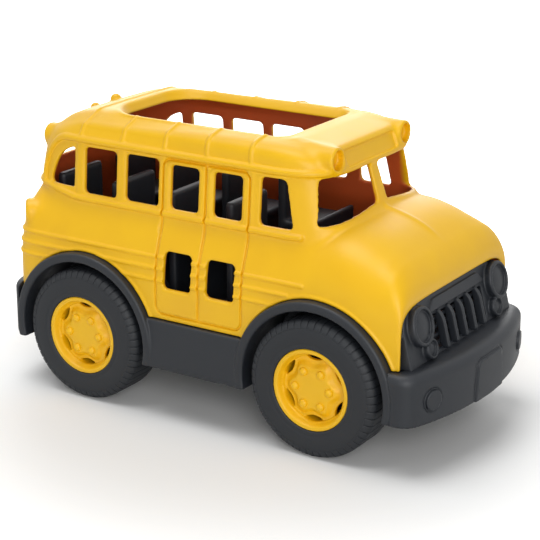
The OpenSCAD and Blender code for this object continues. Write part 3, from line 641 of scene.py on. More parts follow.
@dataclass
class BodyShell:
    """Hollow yellow moulding: hood, side walls, windows, roof with a hand opening, visor and lamps."""

    tail_x: float = -131.1
    nose_x: float = 112.6
    hood_start_x: float = 50.0
    half_width: float = 60.3
    wall: float = 2.8
    sill: float = 54.0
    shoulder: float = 58.7
    hood_top: float = 117.5
    crease: float = 86.0
    nose_opening: float = 84.3
    belt: float = 109.5
    drip: float = 141.0
    roof: float = 155.0
    roof_power: float = 5.0
    belt_half: float = 52.5
    drip_half: float = 49.8
    arch_radius: float = 45.7
    axle_z: float = AXLE_Z
    screen_x: float = 70.6
    screen_centre: float = 20.0
    dome_centre: float = -61.1
    dome_reach: float = 64.0
    door_xs: tuple[float, float, float] = (-31.3, -4.7, 21.9)
    door_middle: float = 97.65
    door_half: float = 40.45
    door_frame: Pane = Pane(123.4, 10.6, 13.2, 3.6)
    door_pane: Pane = Pane(123.75, 8.6, 11.55, 2.4)
    low_pane: Pane = Pane(81.0, 8.5, 9.8, 2.6)
    bay: float = 27.4
    side_pane: Pane = Pane(124.6, 10.5, 12.4, 2.4)
    rear_pane: Pane = Pane(128.0, 12.0, 6.2, 2.6)
    rear_pane_y: float = 18.0
    quarter_pane: Pairs = ((-90.0, 114.2), (-90.0, 136.0), (-96.0, 134.6), (-102.0, 129.6), (-105.6, 123.2),
                           (-107.8, 116.8), (-107.0, 114.2))
    fore_pane: Pairs = ((28.0, 112.4), (47.4, 112.4), (42.4, 137.0), (28.0, 137.0))
    screen_pane: Pairs = ((4.3, 119.2), (47.4, 114.8), (43.0, 137.8), (3.5, 138.5))
    ribs: Pairs = ((87.3, 57.0), (81.3, 49.0), (75.1, 42.0))
    drip_bead: float = 1.8
    belt_bead: float = 1.7
    rib_bead: float = 1.2
    roof_rib_bead: float = 1.35
    arch_bead: float = 1.15
    visor_side: Pairs = ((64.6, 139.3), (59.6, 151.6), (38.0, 154.4), (38.0, 139.3))
    visor_half: float = 34.0
    visor_tube: LampTube = LampTube(34.4, 146.6, 47.8, 15.6, 6.6, 1.4, 66.8, 5.0)
    marker_tube: LampTube = LampTube(33.3, 136.2, -105.6, 15.0, 6.3, 1.6, -125.8, 4.8)
    tail_lamp: Point = (-118.0, 49.0, 96.0)
    tail_lamp_lean: float = math.radians(38)
    nubs: Pairs = ((-100.5, 151.6), (-115.0, 144.8))
    opening_x: float = -24.5
    opening_half: tuple[float, float] = (52.5, 31.0)
    rim_low: float = 149.2
    block_low: Point = (-134.0, -64.0, 50.0)
    block_high: Point = (116.0, 64.0, 158.5)
    pitch: float = 0.75

    def fall(self, x: Array, reach: float, power: float) -> Array:
        """Share of a width left as the tail rounds off."""
        u = np.clip((self.tail_x + reach - x) / reach, 0, 1)
        return (1 - u ** power) ** (1 / power)

    def lower_rings(self) -> Array:
        """Arched sections of the hood and lower body from tail to nose.

        Returns:
            Array of rings, points and coordinates.
        """
        tail = self.tail_x + 26 * np.linspace(0.01, 1, 36) ** 2
        hood = self.nose_x - (self.nose_x - self.hood_start_x) * np.linspace(1, 0, 70) ** 1.3
        xs = np.concatenate([tail, hood])
        half = self.half_width * self.fall(xs, 26, 4.7) - 1.3 * ramp(xs, self.nose_x - 22, self.nose_x)
        u = np.clip((xs - self.hood_start_x) / (self.nose_x - self.hood_start_x), 0, 1)
        hood_z = self.crease + (self.hood_top - self.crease) * np.sqrt(1 - u ** 2.3)
        hood_z += 0.6 * ramp(xs, self.nose_x - 11, self.nose_x - 6.5)
        tail_z = self.shoulder + (self.hood_top - self.shoulder) * self.fall(xs, 20, 3)
        top = np.where(xs < self.hood_start_x, tail_z, hood_z)
        power = 3.2 + ramp(xs, self.hood_start_x + 5, self.hood_start_x + 30)
        power += 1.8 * ramp(xs, self.nose_x - 22, self.nose_x - 2) ** 1.5
        a = np.linspace(0, np.pi, 97)[None, :]
        c, s = np.cos(a), np.clip(np.sin(a), 0, 1)
        e = (2 / power)[:, None]
        y = half[:, None] * np.sign(c) * np.abs(c) ** e
        z = self.shoulder + (top - self.shoulder)[:, None] * s ** e
        y = np.concatenate([y, -half[:, None], half[:, None]], 1)
        z = np.concatenate([z, np.full((len(xs), 2), 40.0)], 1)
        return np.stack([np.broadcast_to(xs[:, None], y.shape), y, z], -1)

    def cabin_rings(self) -> Array:
        """Plan sections of windscreen, side windows, roof and rear dome from the belt up.

        Returns:
            Array of rings, points and coordinates.
        """
        crown = 1 - (1 - np.linspace(0.0, 0.93, 36)) ** 2.2
        walls = np.linspace(94, self.drip - 0.5, 34)
        zs = np.concatenate([walls, self.drip + (self.roof - self.drip) * crown])
        rise = np.clip((zs - self.drip) / (self.roof - self.drip), 0, 1)
        cap = (1 - rise ** self.roof_power) ** (1 / self.roof_power)
        level = np.minimum(zs, self.drip)
        u = (level - self.belt) / (self.drip - self.belt)
        half = (self.belt_half + (self.drip_half - self.belt_half) * u) * cap
        brow = (1 - rise ** 2.4) ** (1 / 2.4)
        reach = (self.screen_x - 0.328 * (level - self.hood_top) - self.screen_centre) * brow
        dome = np.clip((zs - self.belt) / (self.roof - self.belt), 0, 1)
        back = self.dome_reach * (1 - dome ** 3) ** (1 / 3)
        a = np.linspace(-np.pi / 2, np.pi / 2, 61)[None, :]
        c, s = np.clip(np.cos(a), 0, 1), np.sin(a)
        front_x = self.screen_centre + reach[:, None] * c ** (2 / 4.5)
        front_y = half[:, None] * np.sign(s) * np.abs(s) ** (2 / 4.5)
        rear_x = self.dome_centre - back[:, None] * c ** (2 / 4.6)
        rear_y = -half[:, None] * np.sign(s) * np.abs(s) ** (2 / 4.6)
        x = np.concatenate([front_x, rear_x], 1)
        y = np.concatenate([front_y, rear_y], 1)
        return np.stack([x, y, np.broadcast_to(zs[:, None], x.shape)], -1)

    def bead(self, mould: Mould, skin: Array, across: Shape, radius: float, low: Point, high: Point,
             sink: float = 0.0, blend: float = 0.7) -> None:
        """Lays a half-round bead on the skin.

        Args:
            mould: Block to add to.
            skin: Distances to the bare skin.
            across: Distance from the bead's line, measured along the skin.
            radius: Bead radius.
            low: Lowest corner of the region.
            high: Highest corner of the region.
            sink: How far the bead's centre lies under the skin.
            blend: Fillet width.
        """
        part = mould.part(low, high)
        depth = skin[part] + sink
        mould.join(lambda x, y, z: np.sqrt(across(x, y, z) ** 2 + depth ** 2) - radius, blend, low, high)

    def rails(self, mould: Mould, skin: Array) -> None:
        """Belt rail, drip rail, side ribs, roof ribs, pillar bands and arch lips on both sides.

        Args:
            mould: Block to work on.
            skin: Distances to the bare skin.
        """
        curve = [(-95 - 19 * math.sin(t), 113 + 28 * math.cos(t)) for t in np.linspace(math.pi / 2, 0, 14)]
        drip_path = curve + [(60.0, self.drip)]
        for sign in (-1, 1):
            low_y, high_y = sorted((18 * sign, 64 * sign))
            self.bead(mould, skin, lambda x, y, z: path_distance(x, z, drip_path), self.drip_bead,
                      (-125, low_y, 108), (64, high_y, 146), sink=-0.2, blend=0.4)
            self.bead(mould, skin, lambda x, y, z: np.hypot(
                z - self.belt - 4.0 * ramp(x, -84, -113), np.maximum(x - 52, 0)), self.belt_bead,
                (-128, low_y, 104), (58, high_y, 118), sink=-0.1, blend=0.35)
            for line in self.pillars():
                part = mould.part((line - 5, low_y, 108), (line + 5, high_y, 143))
                depth = skin[part]
                mould.join(lambda x, y, z: soft_max(np.abs(x - line) - 2.1, depth - 0.45, 0.5), 0.4,
                           (line - 5, low_y, 108), (line + 5, high_y, 143))
        for height, end in self.ribs:
            self.bead(mould, skin, lambda x, y, z: np.hypot(z - height, np.maximum(x - end, 0)),
                      self.rib_bead, (-134, -64, height - 4), (62, 64, height + 4), sink=0.25, blend=0.35)
        for line in self.pillars():
            self.bead(mould, skin, lambda x, y, z: np.hypot(x - line, np.maximum(143.5 - z, 0)),
                      self.roof_rib_bead, (line - 5, -64, 138), (line + 5, 64, 158.5), sink=0.4, blend=0.35)
        for axle in Axle:
            ring = self.arch_radius + 1.0
            self.bead(mould, skin, lambda x, y, z: np.hypot(x - axle.value, z - self.axle_z) - ring,
                      self.arch_bead, (axle.value - 52, -64, 52), (axle.value + 52, 64, 90), sink=0.35)

    def pillars(self) -> list[float]:
        """Lines of the roof ribs and window pillars along the bus."""
        first, mid, last = self.door_xs
        return [last, mid, first, first - self.bay, first - 2 * self.bay]

    def leaf_centres(self) -> tuple[float, float]:
        """Middles of the two door leaves along the bus."""
        first, mid, last = self.door_xs
        return (first + mid) / 2, (mid + last) / 2

    def door_grooves(self, mould: Mould, skin: Array) -> None:
        """Window frames and grooves of the double door on the right side.

        Args:
            mould: Block to work on.
            skin: Distances to the bare skin.
        """
        low, high = (-38, -64, 52), (30, -30, 143)
        depth = skin[mould.part(low, high)]
        first, mid, last = self.door_xs
        for centre in self.leaf_centres():
            mould.join(lambda x, y, z: np.hypot(
                np.abs(self.door_frame.outline(x, z, centre)), depth + 0.1) - 0.75, 0.3, low, high)
        door = Pane(self.door_middle, (last - first) / 2, self.door_half, 4.5)

        def groove(x: Array, y: Array, z: Array) -> Array:
            """Distance to the slot round the door and between its leaves."""
            outer = np.abs(door.outline(x, z, mid))
            between = np.maximum(np.abs(x - mid), np.abs(z - door.height) - door.half_height)
            return np.maximum(np.minimum(outer, between) - 0.55, -depth - 1.5)

        mould.carve(groove, 0.15, low, high)

    def windows(self, mould: Mould) -> None:
        """Side windows, door windows, windscreen panes and rear windows.

        Args:
            mould: Block to carve.
        """
        first = self.door_xs[0]
        bays = [(first - self.bay / 2, self.side_pane), (first - 1.5 * self.bay, self.side_pane)]
        for side in Side:
            low_y, high_y = sorted((32 * side.value, 64 * side.value))
            leaf = self.door_pane if side is Side.RIGHT else self.side_pane
            for centre, pane in bays + [(middle, leaf) for middle in self.leaf_centres()]:
                mould.carve(lambda x, y, z: pane.outline(x, z, centre), 1.0,
                            (centre - 14, low_y, 108), (centre + 14, high_y, 141))
            mould.carve(lambda x, y, z: convex(x, z, self.quarter_pane, 2.2), 1.0,
                        (-110, low_y, 109), (-85, high_y, 141))
            mould.carve(lambda x, y, z: convex(x, z, self.fore_pane, 3.0), 1.0,
                        (24, low_y, 108), (52, high_y, 141))
        for centre in self.leaf_centres():
            mould.carve(lambda x, y, z: self.low_pane.outline(x, z, centre), 0.9,
                        (centre - 13, -64, 67), (centre + 13, -40, 95))
        for sign in (-1, 1):
            mould.carve(lambda x, y, z: convex(sign * y, z, self.screen_pane, 2.4), 1.0,
                        (42, -50, 112), (82, 50, 141.5))
            mould.carve(lambda x, y, z: self.rear_pane.outline(sign * y, z, self.rear_pane_y), 1.0,
                        (-134, -36, 118), (-105, 36, 138))

    def visor(self, mould: Mould) -> None:
        """Canopy over the windscreen with an open lamp tube at each end and a bare sign recess.

        Args:
            mould: Block to work on.
        """
        mould.join(lambda x, y, z: soft_max(
            convex(x, z, self.visor_side, 2.6), np.abs(y) - self.visor_half, 2.0), 3.0,
            (32, -48, 132), (72, 48, 158.5))
        for sign in (-1, 1):
            self.visor_tube.add(mould, sign)
        foot_x, foot_z = self.visor_side[0]
        # Direction that the sloping front of the visor looks in.
        ahead, up = 0.926, 0.377

        def recess(x: Array, y: Array, z: Array) -> Array:
            """Distance to the shallow recess in the sloping front."""
            outline = round_rect(y, (x - 62.1) * -up + (z - 145.4) * ahead, 25.6, 4.3, 1.6)
            return soft_max(outline, -((x - foot_x) * ahead + (z - foot_z) * up) - 1.2, 0.6)

        mould.carve(recess, 0.5, (54, -30, 138), (70, 30, 154))

    def rear_lamps(self, mould: Mould) -> None:
        """Roof marker tubes, tail lamps and small roof nubs at the back.

        Args:
            mould: Block to add to.
        """
        lamp_x, lamp_y, lamp_z = self.tail_lamp
        for sign in (-1, 1):
            self.marker_tube.add(mould, sign)
            out_x, out_y = -math.cos(self.tail_lamp_lean), sign * math.sin(self.tail_lamp_lean)

            def drum(x: Array, y: Array, z: Array) -> Array:
                """Distance to a tail lamp that faces back and outwards."""
                dx, dy = x - lamp_x, y - lamp_y * sign
                along, side = dx * out_x + dy * out_y, dx * out_y - dy * out_x
                return round_rect(np.hypot(side, z - lamp_z), along, 7.3, 6.8, 2.0)

            low_y, high_y = sorted((30 * sign, 64 * sign))
            mould.join(drum, 1.4, (-134, low_y, 84), (-104, high_y, 108))
        for nub_x, nub_z in self.nubs:
            mould.join(lambda x, y, z: np.sqrt((x - nub_x) ** 2 + y ** 2 + (z - nub_z) ** 2) - 3.0, 1.4,
                       (nub_x - 8, -8, nub_z - 8), (nub_x + 8, 8, nub_z + 8))

    def roof_opening(self, mould: Mould) -> None:
        """Rolled rim and the hand opening in the roof, which widens upwards.

        Args:
            mould: Block to work on.
        """
        def outline(x: Array, y: Array, z: Array) -> Array:
            """Distance to the opening's outline at a height."""
            flare = 5.0 * np.clip((z - 150.1) / 5.2, 0, 1.3)
            corner = np.where(x > self.opening_x, 4.0, 17.0)
            return round_rect(x - self.opening_x, y, *self.opening_half, corner) - flare

        mould.join(lambda x, y, z: soft_max(
            np.abs(outline(x, y, z) - 1.4) - 1.4, np.abs(z - 151.6) - 2.4, 0.8), 1.0,
            (-92, -44, 145), (44, 44, 157))
        mould.carve(outline, 1.4, (-90, -42, 145), (42, 42, 158.5))

    def build(self) -> bpy.types.Object:
        """Moulds the whole shell.

        Returns:
            The shell as one closed piece.
        """
        mould = Mould(self.block_low, self.block_high, self.pitch)
        skin = soft_min(mould.loft(self.lower_rings()), mould.loft(self.cabin_rings()), 3.0)
        part = mould.part((68, -8, 84), (112, 8, 122))
        x, y, _ = mould.grid(part)
        skin[part] -= 0.8 * np.exp(-(y / 1.9) ** 2) * ramp(x, 69, 74) * ramp(x, 106, 92)
        part = mould.part((-134, -64, 140), (40, 64, 158.5))
        x, y, z = mould.grid(part)
        skin[part] += 2.8 * ramp(x, 10, -70) * ramp(np.abs(y), 31, 44) * ramp(z, 141, 148)
        mould.values = skin.copy()
        self.rails(mould, skin)
        self.visor(mould)
        self.rear_lamps(mould)
        mould.values = soft_max(mould.values, -(skin + self.wall), 0.8)
        self.roof_opening(mould)
        nose = mould.part((98, -64, 50), (116, 64, 90))
        mould.values[nose] = soft_max(mould.values[nose], -self.nose_hole(*mould.grid(nose)), 1.8)
        mould.values = soft_max(mould.values, self.sill - mould.grid(mould.part(None, None))[2], 0.8)
        for axle in Axle:
            mould.carve(lambda x, y, z: np.hypot(x - axle.value, z - self.axle_z) - self.arch_radius, 0.9,
                        (axle.value - 50, -64, 50), (axle.value + 50, 64, 86))
        self.door_grooves(mould, skin)
        self.windows(mould)
        shell = mould.cast("shell_moulding", 0.02)
        self.mark_painted_shade(mould, skin, shell.data)
        return shell

    def mark_painted_shade(self, mould: Mould, skin: Array, mesh: bpy.types.Mesh) -> None:
        """Stores on each vertex how far it lies on the inner side of the wall, as the mask of the painted
        shade on the inner faces.

        Args:
            mould: Block that the shell was cast from.
            skin: Distances to the outer skin.
            mesh: Mesh that takes the attribute.
        """
        spots = np.empty(len(mesh.vertices) * 3, np.float32)
        mesh.vertices.foreach_get("co", spots)
        spots = spots.reshape(-1, 3) / MM
        depth = -mould.sample((spots - np.array(mould.low)) / self.pitch, skin)
        # Mask of the painted shade: on for faces deeper than the outer skin, off at the roof rim.
        painted_shade_share = np.clip((depth - 1.5) / 1.0, 0, 1) * ramp(spots[:, 2], self.rim_low + 0.6, self.rim_low - 1.0)
        inner = mesh.attributes.new(PAINTED_SHADE_ATTRIBUTE, "FLOAT", "POINT")
        inner.data.foreach_set("value", painted_shade_share.astype(np.float32))

    def nose_hole(self, x: Array, y: Array, z: Array) -> Array:
        """Distance to the opening that the grille panel stands in.

        Args:
            x: Place along the bus.
            y: Place across it.
            z: Height.

        Returns:
            Distance, negative inside.
        """
        half, rise, power = 56.2, self.nose_opening - self.shoulder, 6.0
        low = np.maximum(z - self.shoulder, 0) / rise
        size = ((np.abs(y) / half) ** power + low ** power) ** (1 / power)
        return np.maximum((size - 1) * 26.0, 101 - x)


# The charcoal pieces


@dataclass
class Chassis:
    """Charcoal tray with floor, wheel wells, half-round flares, skirts and axle hangers."""

    floor_top: float = 53.7
    floor_low: float = 49.9
    floor_ends: tuple[float, float] = (-123.5, 111.5)
    floor_half: float = 56.3
    bottom: float = 27.5
    skirt_x: float = -6.0
    skirt_half: float = 40.0
    tab_xs: tuple[float, float] = (-24.0, 12.0)
    well: float = 40.8
    flare: float = 45.4
    well_back: float = 34.0
    hanger_y: float = 32.5
    axle_bore: float = 4.1
    axle_z: float = AXLE_Z
    pitch: float = 0.85

    def build(self) -> bpy.types.Object:
        """Moulds the tray.

        Returns:
            The tray as one closed piece.
        """
        mould = Mould((-125.5, -66.0, 25.5), (114.0, 66.0, 84.0), self.pitch)
        tail_x, nose_x = self.floor_ends
        mould.join(lambda x, y, z: round_box((x, y, z), (tail_x, -self.floor_half, self.floor_low),
                                             (nose_x, self.floor_half, self.floor_top), 0.6))
        wall = [(59.0, 50.0), (62.2, self.bottom), (64.7, self.bottom), (62.4, self.floor_top),
                (60.0, self.floor_top)]
        for sign in (-1, 1):
            mould.join(lambda x, y, z: soft_max(
                convex(sign * y, z, wall, 0.8), np.abs(x - self.skirt_x) - self.skirt_half, 0.5), 0.4,
                (-50, -66, 25.5), (40, 66, 58))
            mould.join(lambda x, y, z: round_box((x, sign * y, z), (-40, 52, 50),
                                                 (28, 61.5, self.floor_top), 0.4), 0.4,
                       (-50, -66, 46), (40, 66, 58))
            for tab in self.tab_xs:
                mould.join(lambda x, y, z: round_box((x, sign * y, z), (tab - 4.5, 55.0, 50.0),
                                                     (tab + 4.5, 57.2, 62.0), 0.6), 0.5,
                           (tab - 8, -66, 46), (tab + 8, 66, 66))
        for axle in Axle:
            self.well_at(mould, axle.value)
        mould.join(lambda x, y, z: round_box((x, y, z), (-32, -24, 46.9), (20, 24, 51), 0.8), 0.5,
                   (-40, -30, 44), (30, 30, 54))
        part = mould.part(None, None)
        mould.values = soft_max(mould.values, self.bottom - mould.grid(part)[2], 0.9)
        return mould.cast("tray_moulding", 0.03)

    def well_at(self, mould: Mould, axle_x: float) -> None:
        """Adds the two wheel wells, flares and hangers of one axle.

        Args:
            mould: Block to add to.
            axle_x: Place of the axle along the bus.
        """
        low, high = (axle_x - 50, -66, 25.5), (axle_x + 50, 66, 84.0)

        def radius(x: Array, z: Array) -> Array:
            """Distance from the axle's centre line."""
            return np.hypot(x - axle_x, z - self.axle_z)

        def room(x: Array, y: Array, z: Array) -> Array:
            """Distance to the room that a wheel turns in."""
            return np.maximum(radius(x, z) - self.well, self.well_back - np.abs(y))

        def web(y: Array) -> Array:
            """Distance to the two upright layers that hold the axle."""
            return np.abs(np.abs(y) - self.hanger_y) - 1.5

        def plate(x: Array, y: Array, z: Array) -> Array:
            """Distance to the inner wall of a well."""
            return soft_max(np.maximum(radius(x, z) - self.well - 1.0, self.floor_low - z), web(y), 0.5)

        def hanger(x: Array, y: Array, z: Array) -> Array:
            """Distance to a hanger, which widens upwards."""
            stem = np.maximum(np.abs(x - axle_x) - 8.5 - 0.6 * np.maximum(z - self.axle_z, 0),
                              np.abs(z - 43.5) - 7.5)
            return soft_max(np.minimum(radius(x, z) - 8.5, stem), web(y), 0.5)

        mould.carve(room, 0.4, low, high)
        mould.join(lambda x, y, z: round_rect(
            radius(x, z) - (self.well + 1.3), np.abs(y) - 45.0, 1.3, 14.0, 0.5), 0.5, low, high)
        mould.join(lambda x, y, z: round_rect(
            radius(x, z) - (self.well + self.flare) / 2, np.abs(y) - 59.3, 2.55, 5.5, 1.4), 0.7, low, high)
        mould.join(plate, 0.5, low, high)
        mould.join(hanger, 0.5, low, high)
        mould.carve(lambda x, y, z: radius(x, z) - self.axle_bore + 0 * y, 0.3,
                    (axle_x - 8, -40, 28), (axle_x + 8, 40, 45))


@dataclass
class SeatDeck:
    """Charcoal insert with bench seats, a taller driver's seat and the dashboard."""

    rows: tuple[float, ...] = (5.5, -31.2, -67.9, -104.6)
    ends: tuple[float, float] = (-109.6, 50.0)
    sill: float = 54.0
    floor_top: float = 56.4
    dash_x: float = 26.0
    dash_top: float = 100.5
    seat_top: float = 117.5
    driver_rise: float = 12.0
    back_thickness: float = 5.0
    cushion: float = 96.0
    reach: float = 42.0
    aisle: float = 8.0
    well_radius: float = 44.2
    well_y: float = 30.2
    pitch: float = 0.95

    def build(self) -> bpy.types.Object:
        """Moulds the insert.

        Returns:
            The insert as one closed piece.
        """
        mould = Mould((-111.5, -44.0, 52.5), (52.0, 44.0, 132.0), self.pitch)
        mould.join(lambda x, y, z: round_box((x, y, z), (self.ends[0], -self.reach, self.sill),
                                             (self.ends[1], self.reach, self.floor_top), 0.5))
        for sign in (-1, 1):
            for i, row in enumerate(self.rows):
                top = self.seat_top + (self.driver_rise if sign > 0 and i == 0 else 0)
                self.bench(mould, row, sign, top)
        mould.join(lambda x, y, z: round_box((x, y, z), (self.dash_x, -self.reach, self.sill),
                                             (self.dash_x + 3, self.reach, self.dash_top), 1.2), 0.8)
        for axle in Axle:
            mould.carve(lambda x, y, z: np.maximum(
                np.hypot(x - axle.value, z - AXLE_Z) - self.well_radius, self.well_y - np.abs(y)), 0.6,
                (axle.value - 50, -44, 52.5), (axle.value + 50, 44, 84))
        return mould.cast("seat_moulding", 0.04)

    def bench(self, mould: Mould, row: float, sign: int, top: float) -> None:
        """Adds one bench: back, cushion and riser.

        Args:
            mould: Block to add to.
            row: Front face of the back, along the bus.
            sign: Side of the bus, as the sign of Y.
            top: Height of the back.
        """
        low, high = (row - 9, -44, 52.5), (row + 24, 44, 132.0)
        mould.join(lambda x, y, z: round_box(
            (x, sign * y, z), (row - self.back_thickness, self.aisle, self.sill),
            (row, self.reach, top), 1.8), 1.0, low, high)
        mould.join(lambda x, y, z: round_box((x, sign * y, z), (row - 1, self.aisle, self.cushion - 5),
                                             (row + 19, self.reach, self.cushion), 1.8), 1.6, low, high)
        mould.join(lambda x, y, z: round_box((x, sign * y, z), (row + 15, self.aisle, self.sill),
                                             (row + 18, self.reach, self.cushion - 2), 0.8), 0.8, low, high)


@dataclass
class Bumper:
    """Wrap-round charcoal bumper, hollow from below and behind."""

    bottom: float = 27.5
    wall: float = 2.6
    half: float = 64.8
    front_top: float = 54.4
    rear_top: float = 57.4
    plate_half: float = 13.2
    curve_x: float = -36.8
    curve_radius: float = 170.0
    boss_y: float = 48.7
    boss_z: float = 39.4
    boss_radius: float = 5.2
    front_pitch: float = 0.55
    rear_pitch: float = 0.8

    def front(self) -> bpy.types.Object:
        """Moulds the front bumper with two round bosses and a bare centre plate.

        Returns:
            The bumper as one closed piece.
        """
        mould = Mould((102.0, -66.5, 25.5), (136.0, 66.5, 57.0), self.front_pitch)

        def solid(x: Array, y: Array, z: Array) -> Array:
            """Distance to the full form of the bumper."""
            plan = soft_max(np.hypot(x - self.curve_x, y) - self.curve_radius, np.abs(y) - self.half, 7.0)
            return soft_max(plan, z - self.front_top, 6.0)

        mould.join(solid, 0.4)
        for sign in (-1, 1):
            turn = math.asin(self.boss_y / self.curve_radius) * sign
            nx, ny = math.cos(turn), math.sin(turn)
            low_y, high_y = sorted((40 * sign, 58 * sign))
            low, high = (116, low_y, 32), (136, high_y, 47)

            def boss(x: Array, y: Array, z: Array) -> tuple[Array, Array]:
                """Distance from a boss's axis, and along it from the centre of the curve."""
                ahead = x - self.curve_x
                return np.hypot(ahead * -ny + y * nx, z - self.boss_z), ahead * nx + y * ny

            def disc(x: Array, y: Array, z: Array) -> Array:
                """Distance to the raised disc of a boss."""
                away, along = boss(x, y, z)
                return round_rect(away, along - (self.curve_radius - 0.8), self.boss_radius, 2.0, 0.4)

            def ring(x: Array, y: Array, z: Array) -> Array:
                """Distance to the groove round a boss."""
                away, along = boss(x, y, z)
                return np.hypot(away - (self.boss_radius + 0.6), along - (self.curve_radius - 0.1)) - 0.6

            mould.join(disc, 0.1, low, high)
            mould.carve(ring, 0.15, low, high)

        def plate(y: Array, z: Array) -> Array:
            """Distance to the outline of the centre plate, which widens downwards."""
            return round_rect(y * (1 - 0.006 * (49 - z)), z - 31.0, self.plate_half, 18.0, 3.0)

        low, high = (126, -20, 25.5), (136, 20, 50)
        mould.join(lambda x, y, z: soft_max(
            np.hypot(x - self.curve_x, y) - (self.curve_radius + 0.8), plate(y, z), 0.4), 0.1, low, high)
        mould.carve(lambda x, y, z: np.hypot(
            plate(y, z) - 0.6, np.hypot(x - self.curve_x, y) - (self.curve_radius - 0.1)) - 0.6, 0.15,
            low, high)
        self.hollow(mould, solid, 103.5)
        mould.carve(lambda x, y, z: np.hypot(x - Axle.FRONT.value, z - AXLE_Z) - 45.0 + 0 * y, 0.3)
        mould.carve(lambda x, y, z: np.maximum(np.abs(y) - 57.0, x - 111.8) + 0 * z, 0.4)
        mould.carve(lambda x, y, z: np.maximum(np.maximum(np.abs(y) - 61.2, x - 113.2), 53.8 - z), 0.3)
        return mould.cast("front_bumper_moulding", 0.03)

    def rear(self) -> bpy.types.Object:
        """Moulds the rear bumper, which follows the tail of the shell.

        Returns:
            The bumper as one closed piece.
        """
        mould = Mould((-136.0, -66.5, 25.5), (-122.8, 66.5, 60.0), self.rear_pitch)

        def solid(x: Array, y: Array, z: Array) -> Array:
            """Distance to the full form of the bumper."""
            size = ((np.abs(y) / 63.5) ** 5 + (np.clip((-106.0 - x) / 28.0, 0, None)) ** 5) ** 0.2
            return soft_max((size - 1) * 30.0, z - self.rear_top, 4.0)

        mould.join(solid, 0.4)
        self.hollow(mould, solid, -123.8, top=70.0)
        return mould.cast("rear_bumper_moulding", 0.03)

    def hollow(self, mould: Mould, solid: Shape, joint_x: float, top: float = 51.0) -> None:
        """Opens a bumper from below and behind.

        Args:
            mould: Block that holds the full form.
            solid: Distance to the full form without bosses.
            joint_x: Plane where the bumper meets the tray.
            top: Height that the hollow reaches.
        """
        x, y, z = mould.grid(mould.part(None, None))
        inside = np.maximum(solid(x, y, z) + self.wall, z - top)
        mould.values = soft_max(mould.values, -inside, 0.5)
        edge = joint_x - x if joint_x > 0 else x - joint_x
        mould.values = soft_max(mould.values, edge + 0 * y + 0 * z, 0.4)
        mould.values = soft_max(mould.values, self.bottom - z, 0.9)


